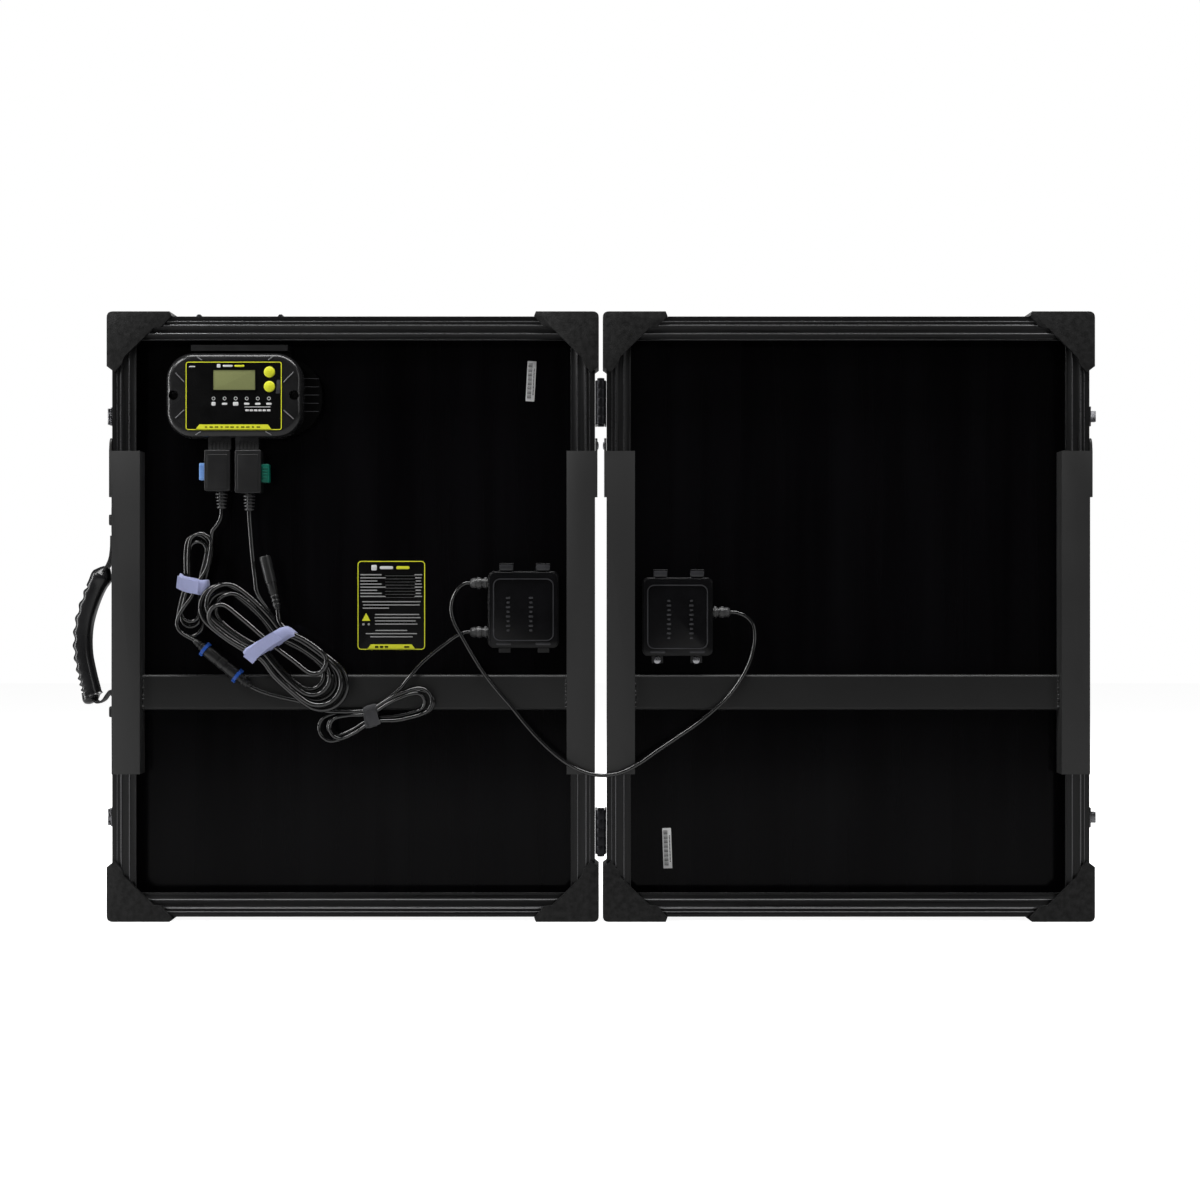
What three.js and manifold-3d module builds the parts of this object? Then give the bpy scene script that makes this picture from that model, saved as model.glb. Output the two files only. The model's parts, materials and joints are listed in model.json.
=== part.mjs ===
// Solar suitcase kit: two framed solar panels that fold together on two butt hinges.
// Units are millimetres. +Z is up. The back of the open case faces -Y, the glass faces +Y.
// While the pieces are made, the fold axis is the Z axis and the floor is z = 0.
import * as THREE from 'three';
import * as BufferGeometryUtils from 'three/addons/utils/BufferGeometryUtils.js';
import Module from 'manifold-3d';

const wasm = await Module();
wasm.setup();

// ---------------------------------------------------------------- driving dimensions
const GAP = 0.3;                 // clearance between touching pieces
const FRAME_W = 538;             // one panel frame, along X
const FRAME_H = 669;             // one panel frame, along Z
const FRAME_D = 35;              // frame depth, along Y
const HALF_HINGE_GAP = 6.5;      // fold axis to the near side of each frame
const PROTECTOR_PROUD = 4.2;     // corner protectors stand this far off the frame's back and front
const REAR = PROTECTOR_PROUD + GAP + 0.15;   // y of the frames' back face
const FRONT = REAR + FRAME_D;
const FLANGE_W = 27;             // back flange of a rail
const WALL = 1.8;                // rail wall thickness
const LAMINATE_T = 4.5;
const LIP_W = 9;
const LAMINATE_FRONT = FRONT - WALL - GAP;
const LAMINATE_BACK = LAMINATE_FRONT - LAMINATE_T;
const FOOT = 5;                  // corner protector under the frame
const FRAME_NEAR = HALF_HINGE_GAP;
const FRAME_FAR = HALF_HINGE_GAP + FRAME_W;
const FRAME_TOP = FOOT + FRAME_H;

const PROTECTOR_WALL = 4.7;
const PROTECTOR_INNER_WALL = 4.0;
const PROTECTOR_RUN = 73;        // along the horizontal rail
const PROTECTOR_RISE = 68;       // along the vertical rail

const HINGE_LENGTH = 48.8;
const HINGE_CENTRES = [577.6, 100];
const KNUCKLE_R = 5.6;
const PIN_R = 2.2;
const PIN_HEAD_R = 4;
const PIN_HEAD_T = 2.2;
const LEAF_T = 2;

const LEG_TOP = 524;             // top edge of an arm's web
const LEG_FOOT = 164;            // bottom edge of an arm
const LEG_WEB_W = 31.5;
const LEG_T = 2.5;
const PIVOT_Z = 530.5;
const PIVOT_Y = REAR + 7;
const EAR_R = 8.5;
const EAR_BOTTOM = 472.6;
const CROSSBAR_Z = [234.6, 274.7];
const CROSSBAR_Y = [14, 26];

const HANDLE_Y = REAR + 17;
const CONTROLLER_X = -407.6;
const CONTROLLER_Z = 585.4;
const CONTROLLER_Y = [-3.5, 17.5];       // housing, back of the case to the heat sink
const HEAT_SINK_Y = [17.8, LAMINATE_BACK - 2.6];

const JB_LEFT = { x: -86.5, z: 347.2, w: 80, h: 86, feet: 6 };
const JB_RIGHT = { x: 85.7, z: 339.2, w: 80, h: 88, feet: 9 };
const JB_FOOT = { dx: 22, halfWidth: 7, thickness: 3 };
const JB_BASE_Y = [LAMINATE_BACK - 17.5, LAMINATE_BACK - GAP];
const JB_LID_T = 5;

const GLAND_Y = JB_BASE_Y[0] + 8.5;
const GLAND_Z = { left_upper: 377, left_lower: 321.9, right: 344.2 };
const GLAND_CAP_R = 5.2;
const GLAND_NUT_R = 7;
const LEFT_GLAND_TIP = -146.8;
const RIGHT_GLAND_TIP = 145.4;

const LEAD_D = 4.5;              // panel, controller and interconnecting leads
const OUTPUT_D = 5.6;            // output lead

// ---------------------------------------------------------------- materials
function material(color, roughness, metalness) {
  return new THREE.MeshStandardMaterial({ color, roughness, metalness });
}


const anodised = material(0x2b2b2d, 0.38, 0.8);
const moulded = material(0x3a3a3c, 0.75, 0);
const powder = material(0x343437, 0.6, 0.2);
const backsheet = material(0x121114, 0.12, 0);
const steel = material(0xb9bbc0, 0.3, 1);
const gripRubber = material(0x2a2a30, 0.7, 0);
const webbing = material(0x161618, 0.9, 0);
const gloss = material(0x1b1b20, 0.35, 0);
const castAluminium = material(0x2c2c2e, 0.55, 0.6);
const yellow = material(0xd4d21c, 0.5, 0);
const cable = material(0x17171a, 0.5, 0);

// ---------------------------------------------------------------- solids
const model = new THREE.Group();

function toSolid(geometry) {
  const bare = geometry.clone();
  bare.deleteAttribute('normal');
  bare.deleteAttribute('uv');
  const merged = BufferGeometryUtils.mergeVertices(bare, 1e-4);
  return new wasm.Manifold(new wasm.Mesh({
    numProp: 3,
    vertProperties: merged.attributes.position.array,
    triVerts: new Uint32Array(merged.index.array),
  }));
}

function toGeometry(solid) {
  const mesh = solid.getMesh();
  const geometry = new THREE.BufferGeometry();
  geometry.setAttribute('position', new THREE.BufferAttribute(new Float32Array(mesh.vertProperties), 3));
  geometry.setIndex(new THREE.BufferAttribute(new Uint32Array(mesh.triVerts), 1));
  geometry.computeVertexNormals();
  return geometry;
}

function join(...geometries) {
  return toGeometry(geometries.map(toSolid).reduce((whole, next) => whole.add(next)));
}

function cut(geometry, ...tools) {
  return toGeometry(tools.map(toSolid).reduce((whole, tool) => whole.subtract(tool), toSolid(geometry)));
}

function part(name, geometry, finish) {
  const mesh = new THREE.Mesh(geometry, finish);
  mesh.name = name;
  model.add(mesh);
  return mesh;
}

function block(x, y, z) {
  const geometry = new THREE.BoxGeometry(x[1] - x[0], y[1] - y[0], z[1] - z[0]);
  return geometry.translate((x[0] + x[1]) / 2, (y[0] + y[1]) / 2, (z[0] + z[1]) / 2);
}

function rod(axis, radius, from, to, a, b, sides = 20) {
  const geometry = new THREE.CylinderGeometry(radius, radius, to - from, sides);
  geometry.translate(0, (from + to) / 2, 0);
  if (axis === 'x') return geometry.rotateZ(-Math.PI / 2).translate(0, a, b);
  if (axis === 'z') return geometry.rotateX(Math.PI / 2).translate(a, b, 0);
  return geometry.translate(a, 0, b);
}

function outline(points) {
  const shape = new THREE.Shape();
  shape.moveTo(...points[0]);
  points.slice(1).forEach((p) => shape.lineTo(...p));
  shape.closePath();
  return shape;
}

// A rectangle with round corners, centred on (x, z).
function roundedRect(x, z, w, h, r) {
  const shape = new THREE.Shape();
  shape.moveTo(x - w / 2 + r, z - h / 2);
  shape.lineTo(x + w / 2 - r, z - h / 2);
  shape.absarc(x + w / 2 - r, z - h / 2 + r, r, -Math.PI / 2, 0);
  shape.absarc(x + w / 2 - r, z + h / 2 - r, r, 0, Math.PI / 2);
  shape.absarc(x - w / 2 + r, z + h / 2 - r, r, Math.PI / 2, Math.PI);
  shape.absarc(x - w / 2 + r, z - h / 2 + r, r, Math.PI, Math.PI * 1.5);
  return shape;
}

// A slab whose outline is drawn in the X-Z plane, between two values of y.
function slab(shape, y, curveSegments = 5) {
  const depth = y[1] - y[0];
  const geometry = new THREE.ExtrudeGeometry(shape, { depth, bevelEnabled: false, curveSegments });
  return geometry.rotateX(Math.PI / 2).translate(0, y[1], 0);
}

// A bar along X whose outline is drawn in the Y-Z plane.
function barAlongX(shape, x, curveSegments = 4) {
  const depth = x[1] - x[0];
  const geometry = new THREE.ExtrudeGeometry(shape, { depth, bevelEnabled: false, curveSegments });
  return geometry.rotateX(Math.PI / 2).rotateZ(Math.PI / 2).translate(x[0], 0, 0);
}

// Turns the faces outwards where a mirroring has turned them in.
function facingOut(geometry) {
  const flat = geometry.index ? geometry.toNonIndexed() : geometry;
  const position = flat.attributes.position;
  const corner = (i) => new THREE.Vector3().fromBufferAttribute(position, i);
  let volume = 0;
  for (let i = 0; i < position.count; i += 3) volume += corner(i).dot(corner(i + 1).cross(corner(i + 2)));
  if (volume < 0) {
    for (let i = 0; i < position.count; i += 3) {
      const second = corner(i + 1);
      const third = corner(i + 2);
      position.setXYZ(i + 1, ...third);
      position.setXYZ(i + 2, ...second);
    }
  }
  flat.computeVertexNormals();
  return flat;
}

const mirrored = (geometry) => facingOut(geometry.clone().scale(-1, 1, 1));

// A piece made for the right panel, placed there or mirrored to the left one.
const onSide = (side, geometry) => (side === 'left' ? mirrored(geometry) : geometry);

function curveThrough(points) {
  return new THREE.CatmullRomCurve3(points.map((p) => new THREE.Vector3(...p)), false, 'centripetal');
}

function tube(points, diameter, steps, sides = 8) {
  const section = new THREE.Shape();
  section.absarc(0, 0, diameter / 2, 0, Math.PI * 2);
  const settings = { steps, bevelEnabled: false, extrudePath: curveThrough(points), curveSegments: sides };
  return new THREE.ExtrudeGeometry(section, settings);
}

// ---------------------------------------------------------------- panel frames
// A rail's section: u runs inwards from the outer face, the second value is y.
const RAIL_SECTION = [
  [0, REAR], [0, FRONT], [LIP_W, FRONT], [LIP_W, FRONT - WALL], [WALL, FRONT - WALL],
  [WALL, LAMINATE_BACK - GAP], [LIP_W, LAMINATE_BACK - GAP], [LIP_W, LAMINATE_BACK - GAP - WALL],
  [WALL, LAMINATE_BACK - GAP - WALL], [WALL, REAR + WALL], [FLANGE_W, REAR + WALL], [FLANGE_W, REAR],
];
const RIDGES = [[25.6, 20.2], [18.4, 11.2], [8.8, 6.2]];   // grooves in the back flange, between the ridges
const GROOVE_DEPTH = 0.6;

function railSection() {
  const points = [...RAIL_SECTION];
  for (const [inner, outer] of RIDGES) {
    points.push([inner, REAR], [inner, REAR + GROOVE_DEPTH], [outer, REAR + GROOVE_DEPTH], [outer, REAR]);
  }
  return outline(points);
}

// Places a rail: u moves from the outer face towards the panel's middle, and both ends are mitred.
function rail(side, place) {
  const geometry = new THREE.ExtrudeGeometry(railSection(), { depth: 1, bevelEnabled: false });
  const position = geometry.attributes.position;
  const x = [FRAME_NEAR, FRAME_FAR];
  const z = [FOOT, FRAME_TOP];
  const mitre = GAP * 0.75;
  for (let i = 0; i < position.count; i += 1) {
    const u = position.getX(i);
    const y = position.getY(i);
    const inset = u + mitre;
    const along = position.getZ(i) < 0.5 ? (span) => span[0] + inset : (span) => span[1] - inset;
    if (place === 'bottom') position.setXYZ(i, along(x), y, z[0] + u);
    if (place === 'top') position.setXYZ(i, along(x), y, z[1] - u);
    if (place === 'near') position.setXYZ(i, x[0] + u, y, along(z));
    if (place === 'far') position.setXYZ(i, x[1] - u, y, along(z));
  }
  return onSide(side, facingOut(geometry));
}

function laminate(side) {
  const edge = WALL + GAP;
  const plate = block(
    [FRAME_NEAR + edge, FRAME_FAR - edge],
    [LAMINATE_BACK, LAMINATE_FRONT],
    [FOOT + edge, FRAME_TOP - edge],
  );
  return onSide(side, plate);
}

// ---------------------------------------------------------------- corner protectors
// The outline of the back plate: distance from the outer corner along the level rail, then along the upright.
const PROTECTOR_OUTLINE = [
  [PROTECTOR_RUN - 3, 0], [PROTECTOR_RUN - 1, 5], [60.5, 17.5], [52, 18.5], [33, 37],
  [19.5, 50.5], [16.5, 59], [8.5, PROTECTOR_RISE - 0.5], [0, 61],
];

function protector(side, horizontal, vertical) {
  const near = horizontal === 'inner';
  const wall = near ? PROTECTOR_INNER_WALL : PROTECTOR_WALL;
  const cornerX = near ? FRAME_NEAR - GAP - wall : FRAME_FAR + GAP + wall;
  const cornerZ = vertical === 'lower' ? 0 : FRAME_TOP + FOOT;
  const intoX = near ? 1 : -1;
  const intoZ = vertical === 'lower' ? 1 : -1;
  const shape = new THREE.Shape();
  const radius = 7;
  const at = ([a, b]) => [cornerX + intoX * a, cornerZ + intoZ * b];
  shape.moveTo(...at([0, radius]));
  shape.quadraticCurveTo(...at([0, 0]), ...at([radius, 0]));
  PROTECTOR_OUTLINE.forEach((p) => shape.lineTo(...at(p)));
  shape.closePath();
  const cap = facingOut(slab(shape, [REAR - GAP - PROTECTOR_PROUD, FRONT + GAP + PROTECTOR_PROUD], 6));
  const frameSpace = block(
    near ? [FRAME_NEAR - GAP, FRAME_FAR] : [FRAME_NEAR, FRAME_FAR + GAP],
    [REAR - GAP, FRONT + GAP],
    [FOOT - GAP, FRAME_TOP + GAP],
  );
  return onSide(side, cut(cap, frameSpace));
}

for (const side of ['left', 'right']) {
  for (const place of ['top', 'bottom', 'near', 'far']) {
    const name = { near: 'inner', far: 'outer' }[place] ?? place;
    part(`${side}_frame_${name}_rail`, rail(side, place), anodised);
  }
  part(`${side}_panel_laminate`, laminate(side), backsheet);
  for (const horizontal of ['inner', 'outer']) {
    for (const vertical of ['upper', 'lower']) {
      part(`${side}_${vertical}_${horizontal}_corner`, protector(side, horizontal, vertical), moulded);
    }
  }
}

// ---------------------------------------------------------------- butt hinges
function leaf(side, centre, knuckles) {
  const clearOfKnuckles = KNUCKLE_R + 2 * GAP;
  const x = [FRAME_NEAR - GAP - LEAF_T, FRAME_NEAR - GAP];
  const bottom = centre - HINGE_LENGTH / 2;
  const pitch = HINGE_LENGTH / 5;
  const pieces = [block(x, [clearOfKnuckles, 30], [bottom, bottom + HINGE_LENGTH])];
  for (const k of knuckles) {
    const z = [bottom + k * pitch + GAP / 2, bottom + (k + 1) * pitch - GAP / 2];
    pieces.push(rod('z', KNUCKLE_R, z[0], z[1], 0, 0, 24));
    pieces.push(block(x, [0, clearOfKnuckles + 1], z));
  }
  const bore = rod('z', PIN_R + GAP, bottom - 5, bottom + HINGE_LENGTH + 5, 0, 0, 24);
  return onSide(side, cut(join(...pieces), bore));
}

function hingePin(centre) {
  const half = HINGE_LENGTH / 2 + GAP;
  const shank = rod('z', PIN_R, centre - half - 1, centre + half + 1, 0, 0);
  const lowerHead = rod('z', PIN_HEAD_R, centre - half - PIN_HEAD_T, centre - half, 0, 0);
  const upperHead = rod('z', PIN_HEAD_R, centre + half, centre + half + PIN_HEAD_T, 0, 0);
  return join(shank, lowerHead, upperHead);
}

for (const [n, height] of ['upper', 'lower'].entries()) {
  part(`${height}_hinge_left_leaf`, leaf('left', HINGE_CENTRES[n], [0, 2, 4]), steel);
  part(`${height}_hinge_right_leaf`, leaf('right', HINGE_CENTRES[n], [1, 3]), steel);
  part(`${height}_hinge_pin`, hingePin(HINGE_CENTRES[n]), steel);
}

// ---------------------------------------------------------------- leg frames
const WEB_Y = [REAR - GAP - LEG_T, REAR - GAP];

// One channel arm of the right panel's leg frame, at the panel's near or far edge.
function arm(near) {
  const edge = near ? FRAME_NEAR : FRAME_FAR;
  const into = near ? 1 : -1;
  const span = (a, b) => [edge + into * a, edge + into * b].sort((p, q) => p - q);
  const web = block(span(0, LEG_WEB_W), WEB_Y, [LEG_FOOT, LEG_TOP]);
  const earBend = block(span(-GAP - LEG_T, LEG_T), WEB_Y, [EAR_BOTTOM, LEG_TOP]);
  const innerEdge = span(LEG_WEB_W - LEG_T, LEG_WEB_W);
  const innerFlange = block(innerEdge, [WEB_Y[0], CROSSBAR_Y[1]], [LEG_FOOT, LEG_TOP]);
  const ear = new THREE.Shape();
  ear.moveTo(WEB_Y[0], EAR_BOTTOM);
  ear.lineTo(WEB_Y[0], LEG_TOP);
  ear.lineTo(PIVOT_Y - EAR_R, PIVOT_Z);
  ear.absarc(PIVOT_Y, PIVOT_Z, EAR_R, Math.PI, 0, true);
  ear.lineTo(PIVOT_Y + EAR_R, PIVOT_Z - 25);
  ear.lineTo(WEB_Y[1] + 4, EAR_BOTTOM);
  ear.closePath();
  return [web, earBend, innerFlange, facingOut(barAlongX(ear, span(-GAP - LEG_T, -GAP), 8))];
}

function legFrame(side) {
  const crossbarSection = roundedRect(
    (CROSSBAR_Y[0] + CROSSBAR_Y[1]) / 2,
    (CROSSBAR_Z[0] + CROSSBAR_Z[1]) / 2,
    CROSSBAR_Y[1] - CROSSBAR_Y[0],
    CROSSBAR_Z[1] - CROSSBAR_Z[0],
    4,
  );
  const reach = LEG_WEB_W - LEG_T / 2;
  const crossbar = barAlongX(crossbarSection, [FRAME_NEAR + reach, FRAME_FAR - reach]);
  return onSide(side, join(...arm(true), ...arm(false), crossbar));
}

part('left_leg_frame', legFrame('left'), powder);
part('right_leg_frame', legFrame('right'), powder);

// ---------------------------------------------------------------- carrying handle, on the left edge
const EDGE_X = -FRAME_FAR - GAP;            // faces of what is fixed to the left edge
const STRAP_W = 20;
const STRAP_T = 1.6;
const GRIP_ROUTE = [[-560.5, 384], [-572, 360], [-580.5, 330], [-581.5, 300], [-577, 275], [-573.5, 261]];
const STRAP_ROUTE = [
  [-547.8, 430], [-548.2, 415], [-550.5, 402], ...GRIP_ROUTE,
  [-570, 249], [-564, 243], [-558, 245.5], [-552.5, 253], [-549, 256.5], [-547.3, 253.5], [-547, 250.6],
];
const inHandlePlane = (route) => route.map(([x, z]) => [x, HANDLE_Y, z]);

function handleMount(z) {
  const plate = slab(roundedRect(HANDLE_Y, (z[0] + z[1]) / 2, 26, z[1] - z[0], 5), [-1.6, 0]);
  const loop = slab(roundedRect(HANDLE_Y, (z[0] + z[1]) / 2, 24, 12, 3), [-4.6, -1.2]);
  return join(plate, loop).rotateZ(-Math.PI / 2).scale(1, -1, 1).translate(EDGE_X, 0, 0);
}

function strap() {
  const section = outline([
    [-STRAP_W / 2, -STRAP_T / 2], [STRAP_W / 2, -STRAP_T / 2],
    [STRAP_W / 2, STRAP_T / 2], [-STRAP_W / 2, STRAP_T / 2],
  ]);
  const extrudePath = curveThrough(inHandlePlane(STRAP_ROUTE));
  return new THREE.ExtrudeGeometry(section, { steps: 56, bevelEnabled: false, extrudePath });
}

// The grip is moulded round the strap, with a slot along its middle.
function grip() {
  const section = roundedRect(0, 0, 26, 22, 9);
  const slotX = STRAP_W / 2 + GAP;
  const slotZ = STRAP_T / 2 + 0.9;
  section.holes.push(new THREE.Path([
    new THREE.Vector2(-slotX, -slotZ), new THREE.Vector2(-slotX, slotZ),
    new THREE.Vector2(slotX, slotZ), new THREE.Vector2(slotX, -slotZ),
  ]));
  const extrudePath = curveThrough(inHandlePlane(GRIP_ROUTE));
  const settings = { steps: 14, bevelEnabled: false, extrudePath, curveSegments: 4 };
  return new THREE.ExtrudeGeometry(section, settings);
}

part('handle_upper_mount', facingOut(handleMount([430.3, 464.8])), moulded);
part('handle_lower_mount', facingOut(handleMount([215.7, 250.2])), moulded);
part('handle_strap', strap(), webbing);
part('handle_grip', grip(), gripRubber);

// ---------------------------------------------------------------- case latches and keepers
const LATCH_CENTRES = [562.7, 115.6];
const LATCH_PIVOT = [EDGE_X - 4, REAR + 6];
const LATCH_REACH = 26;
const KEEPER_Y = REAR + 3.5;

function latchBase(z) {
  const plate = block([EDGE_X - 1.5, EDGE_X], [REAR + 1, REAR + 24], [z - 10, z + 10]);
  const post = block([EDGE_X - 4, EDGE_X - 1], [LATCH_PIVOT[1] - 2, LATCH_PIVOT[1] + 2], [z - 4, z + 4]);
  const knuckle = rod('z', 2, z - 4, z + 4, ...LATCH_PIVOT, 12);
  return join(plate, post, knuckle);
}

function latchLever(z) {
  const x = [LATCH_PIVOT[0] - 1.2, LATCH_PIVOT[0] + 1.2];
  const y = LATCH_PIVOT[1];
  const bars = [-1, 1].flatMap((end) => {
    const outside = [z + end * 6.6, z + end * 9].sort((a, b) => a - b);
    const beside = [z + end * 4.3, z + end * 9].sort((a, b) => a - b);
    return [block(x, [y, y + LATCH_REACH], outside), rod('z', 2, ...beside, ...LATCH_PIVOT, 12)];
  });
  const endBar = block(x, [y + LATCH_REACH - 2.2, y + LATCH_REACH], [z - 9, z + 9]);
  return join(...bars, endBar);
}

function keeper(z) {
  const face = FRAME_FAR + GAP;
  const plate = block([face, face + 1.5], [REAR + 0.5, REAR + 16], [z - 11, z + 11]);
  const knob = block([face + 1, face + 7], [KEEPER_Y - 2.6, KEEPER_Y + 4.2], [z - 6, z + 6]);
  return join(plate, knob);
}

for (const [n, height] of ['upper', 'lower'].entries()) {
  part(`${height}_latch_base`, latchBase(LATCH_CENTRES[n]), steel);
  part(`${height}_latch_lever`, latchLever(LATCH_CENTRES[n]), steel);
  part(`${height}_latch_keeper`, keeper(LATCH_CENTRES[n]), steel);
}

// ---------------------------------------------------------------- charge controller
const BUTTON_X = -367.8;
const BUTTONS = { upper: 611, lower: 594.9 };
const BUTTON_R = 6.2;
const SOCKETS = { left: [-436.8, -411.2], right: [-406.4, -380.4] };
const PLUG_TOP = 524.9;
const PLUG_Y = 8;
const FIN_T = 2.6;
const FIN_PITCH = 9.2;
const FIN_COUNT = 10;
const FIN_BASE_T = 3.4;
const SCREW_HOLE_R = 5.2;

function controllerHousing() {
  const body = slab(roundedRect(CONTROLLER_X, CONTROLLER_Z, 151.8, 94.5, 30), CONTROLLER_Y, 8);
  const sockets = Object.values(SOCKETS).map((x) => block(x, [0.5, 15.5], [PLUG_TOP + GAP, 545]));
  const buttonWells = Object.values(BUTTONS).map((z) => rod('y', BUTTON_R + GAP, -10, 1.5, BUTTON_X, z));
  const screwHoles = [-474.6, -340.6].map((x) => rod('y', SCREW_HOLE_R, -10, 30, x, CONTROLLER_Z, 16));
  return cut(join(body, ...sockets), ...buttonWells, ...screwHoles);
}

// Upright fins on a base plate, trimmed to a rounded outline that follows the housing.
function heatSink() {
  const bottom = CONTROLLER_Z - ((FIN_COUNT - 1) * FIN_PITCH + FIN_T) / 2;
  const span = [CONTROLLER_X - 70, CONTROLLER_X + 95];
  const top = bottom + (FIN_COUNT - 1) * FIN_PITCH + FIN_T;
  const base = block(span, [HEAT_SINK_Y[0], HEAT_SINK_Y[0] + FIN_BASE_T], [bottom, top]);
  const fins = Array.from({ length: FIN_COUNT }, (_, n) => {
    const z = bottom + n * FIN_PITCH;
    return block(span, HEAT_SINK_Y, [z, z + FIN_T]);
  });
  const middle = (span[0] + span[1]) / 2;
  const envelope = slab(roundedRect(middle, CONTROLLER_Z, span[1] - span[0], 86, 40), [0, 40], 10);
  return toGeometry(toSolid(join(base, ...fins)).intersect(toSolid(envelope)));
}

function controllerBracket() {
  const back = [LAMINATE_BACK - 2.3, LAMINATE_BACK - GAP];
  const section = outline([
    [back[1], 545], [back[1], 642.7], [8, 642.7], [8, 636.1], [back[0], 636.1], [back[0], 545],
  ]);
  return facingOut(barAlongX(section, [-457.4, -349.5]));
}

part('controller_bracket', controllerBracket(), castAluminium);
part('controller_heat_sink', heatSink(), castAluminium);
part('controller_housing', controllerHousing(), gloss);
for (const [name, z] of Object.entries(BUTTONS)) {
  part(`controller_${name}_button`, rod('y', BUTTON_R, -5.2, -0.4, BUTTON_X, z, 24), yellow);
}

// A rectangular plug with a coloured insert on one side and a strain relief below.
function plug(x, z, tab, reliefX) {
  const body = block(x, [-1, 17], [z, PLUG_TOP]);
  const insert = block(tab.x, [3, 13], tab.z);
  const relief = rod('z', 6.6, z - 19.5, z + 1, reliefX, PLUG_Y, 16);
  return join(body, insert, relief);
}

const INPUT_TAB = { x: [-447.2, -440], z: [491.5, 510.4] };
const OUTPUT_TAB = { x: [-378.5, -369.5], z: [488.8, 509.3] };
part('controller_input_plug', plug([-440.8, -412.3], 479.3, INPUT_TAB, -423.2), gloss);
part('controller_output_plug', plug([-406.8, -377.9], 477, OUTPUT_TAB, -392.3), gloss);

// ---------------------------------------------------------------- junction boxes
function junctionBase({ x, z, w, h, feet }) {
  const bottom = z - h / 2;
  const tabs = [x - JB_FOOT.dx, x + JB_FOOT.dx].map((middle) => block(
    [middle - JB_FOOT.halfWidth, middle + JB_FOOT.halfWidth],
    [JB_BASE_Y[1] - JB_FOOT.thickness, JB_BASE_Y[1]],
    [bottom - feet, bottom + 5],
  ));
  return join(slab(roundedRect(x, z, w, h, 7), JB_BASE_Y, 4), ...tabs);
}

function junctionLid({ x, z, w, h }) {
  const y = [JB_BASE_Y[0] - GAP - JB_LID_T, JB_BASE_Y[0] - GAP];
  const cover = slab(roundedRect(x, z, w - 3, h - 2, 7), y, 4);
  const top = z + h / 2;
  const clips = [-19, 22].map((dx) => [x + dx - 8, x + dx + 8]);
  const lugs = clips.map((span) => block(span, [y[0] + 1, y[1] + 1.5], [top + 1, top + 9]));
  const arms = clips.map((span) => block(span, [y[0] + 1, y[1]], [top - 3, top + 2]));
  return join(cover, ...lugs, ...arms);
}

// A cable gland along X: a hexagonal nut next to the box and a round cap out to the tip.
function gland(tip, box, z) {
  const between = (a, b) => [a, b].sort((p, q) => p - q);
  const nut = rod('x', GLAND_NUT_R, ...between(tip + (box - tip) * 0.6, box), GLAND_Y, z, 6);
  const cap = rod('x', GLAND_CAP_R, ...between(tip, box), GLAND_Y, z, 16);
  return join(cap, nut);
}

const LEFT_BOX_SIDE = JB_LEFT.x - JB_LEFT.w / 2 - GAP;
const RIGHT_BOX_SIDE = JB_RIGHT.x + JB_RIGHT.w / 2 + GAP;

part('left_junction_box_base', junctionBase(JB_LEFT), gloss);
part('left_junction_box_lid', junctionLid(JB_LEFT), gloss);
part('right_junction_box_base', junctionBase(JB_RIGHT), gloss);
part('right_junction_box_lid', junctionLid(JB_RIGHT), gloss);
part('left_junction_box_upper_gland', gland(LEFT_GLAND_TIP, LEFT_BOX_SIDE, GLAND_Z.left_upper), gloss);
part('left_junction_box_lower_gland', gland(LEFT_GLAND_TIP, LEFT_BOX_SIDE, GLAND_Z.left_lower), gloss);
part('right_junction_box_gland', gland(RIGHT_GLAND_TIP, RIGHT_BOX_SIDE, GLAND_Z.right), gloss);

// ---------------------------------------------------------------- leads
const INTERCONNECT_ROUTE = [
  [-147.2, 24, 377], [-152, 24, 376.8], [-160.5, 22.8, 370.5], [-166.6, 19.5, 358], [-167.6, 17, 345],
  [-163.5, 15.4, 331], [-155.9, 14, 317.5], [-144, 12, 297], [-130.5, 10, 276], [-115, 8.8, 256],
  [-99.2, 7.4, 238], [-84, 4.5, 219.5], [-68, 1, 202], [-54, -1.2, 189], [-41.4, -1.6, 179],
  [-25, -1.6, 169.6], [-10, -1.6, 164.6], [4.4, -1.6, 163.2], [18, -1.6, 165], [31, -1.6, 169.8],
  [47, -1.2, 179], [62.3, 1, 189.7], [84, 4.5, 204], [105.8, 7.4, 218.6], [125, 9, 234],
  [141.9, 10.2, 250], [154, 11.2, 266], [163.6, 13, 282.6], [170.5, 16, 301], [172.8, 19, 318],
  [170.5, 22, 331], [162, 23.8, 340.2], [151, 24, 344], [145.8, 24, 344.2],
];
const PANEL_RUN_ROUTE = [
  [-147.2, 24, 321.9], [-152.5, 24, 321.6], [-162, 23.6, 317.5], [-174, 22.4, 309], [-187, 19.6, 299],
  [-200, 15.2, 287.5], [-210, 10.5, 276.5], [-218, 8.2, 267], [-223.4, 7.2, 259.8],
];
const PANEL_TAIL_ROUTE = [
  [-306.2, 6.9, 234.2], [-318, 6.9, 239.5], [-332, 6.9, 243.5], [-345.6, 6.6, 246.9],
  [-360, 6, 250.2], [-374, 5, 254.3], [-384, 4.2, 258.4], [-389.6, 4, 261.2],
];
const CONTROLLER_DROP_ROUTE = [
  [-423.2, 8, 459.3], [-423.4, 8, 454], [-425, 8, 447.5], [-428.6, 8, 441], [-433.4, 8, 434.6],
];
const OUTPUT_RUN_ROUTE = [
  [-392.3, 8, 457], [-392, 7.8, 448], [-390.6, 6.4, 434], [-388.6, 3.2, 416],
  [-386, -0.8, 397], [-383.4, -4, 380], [-380.8, -5.3, 365.4],
];

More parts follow.
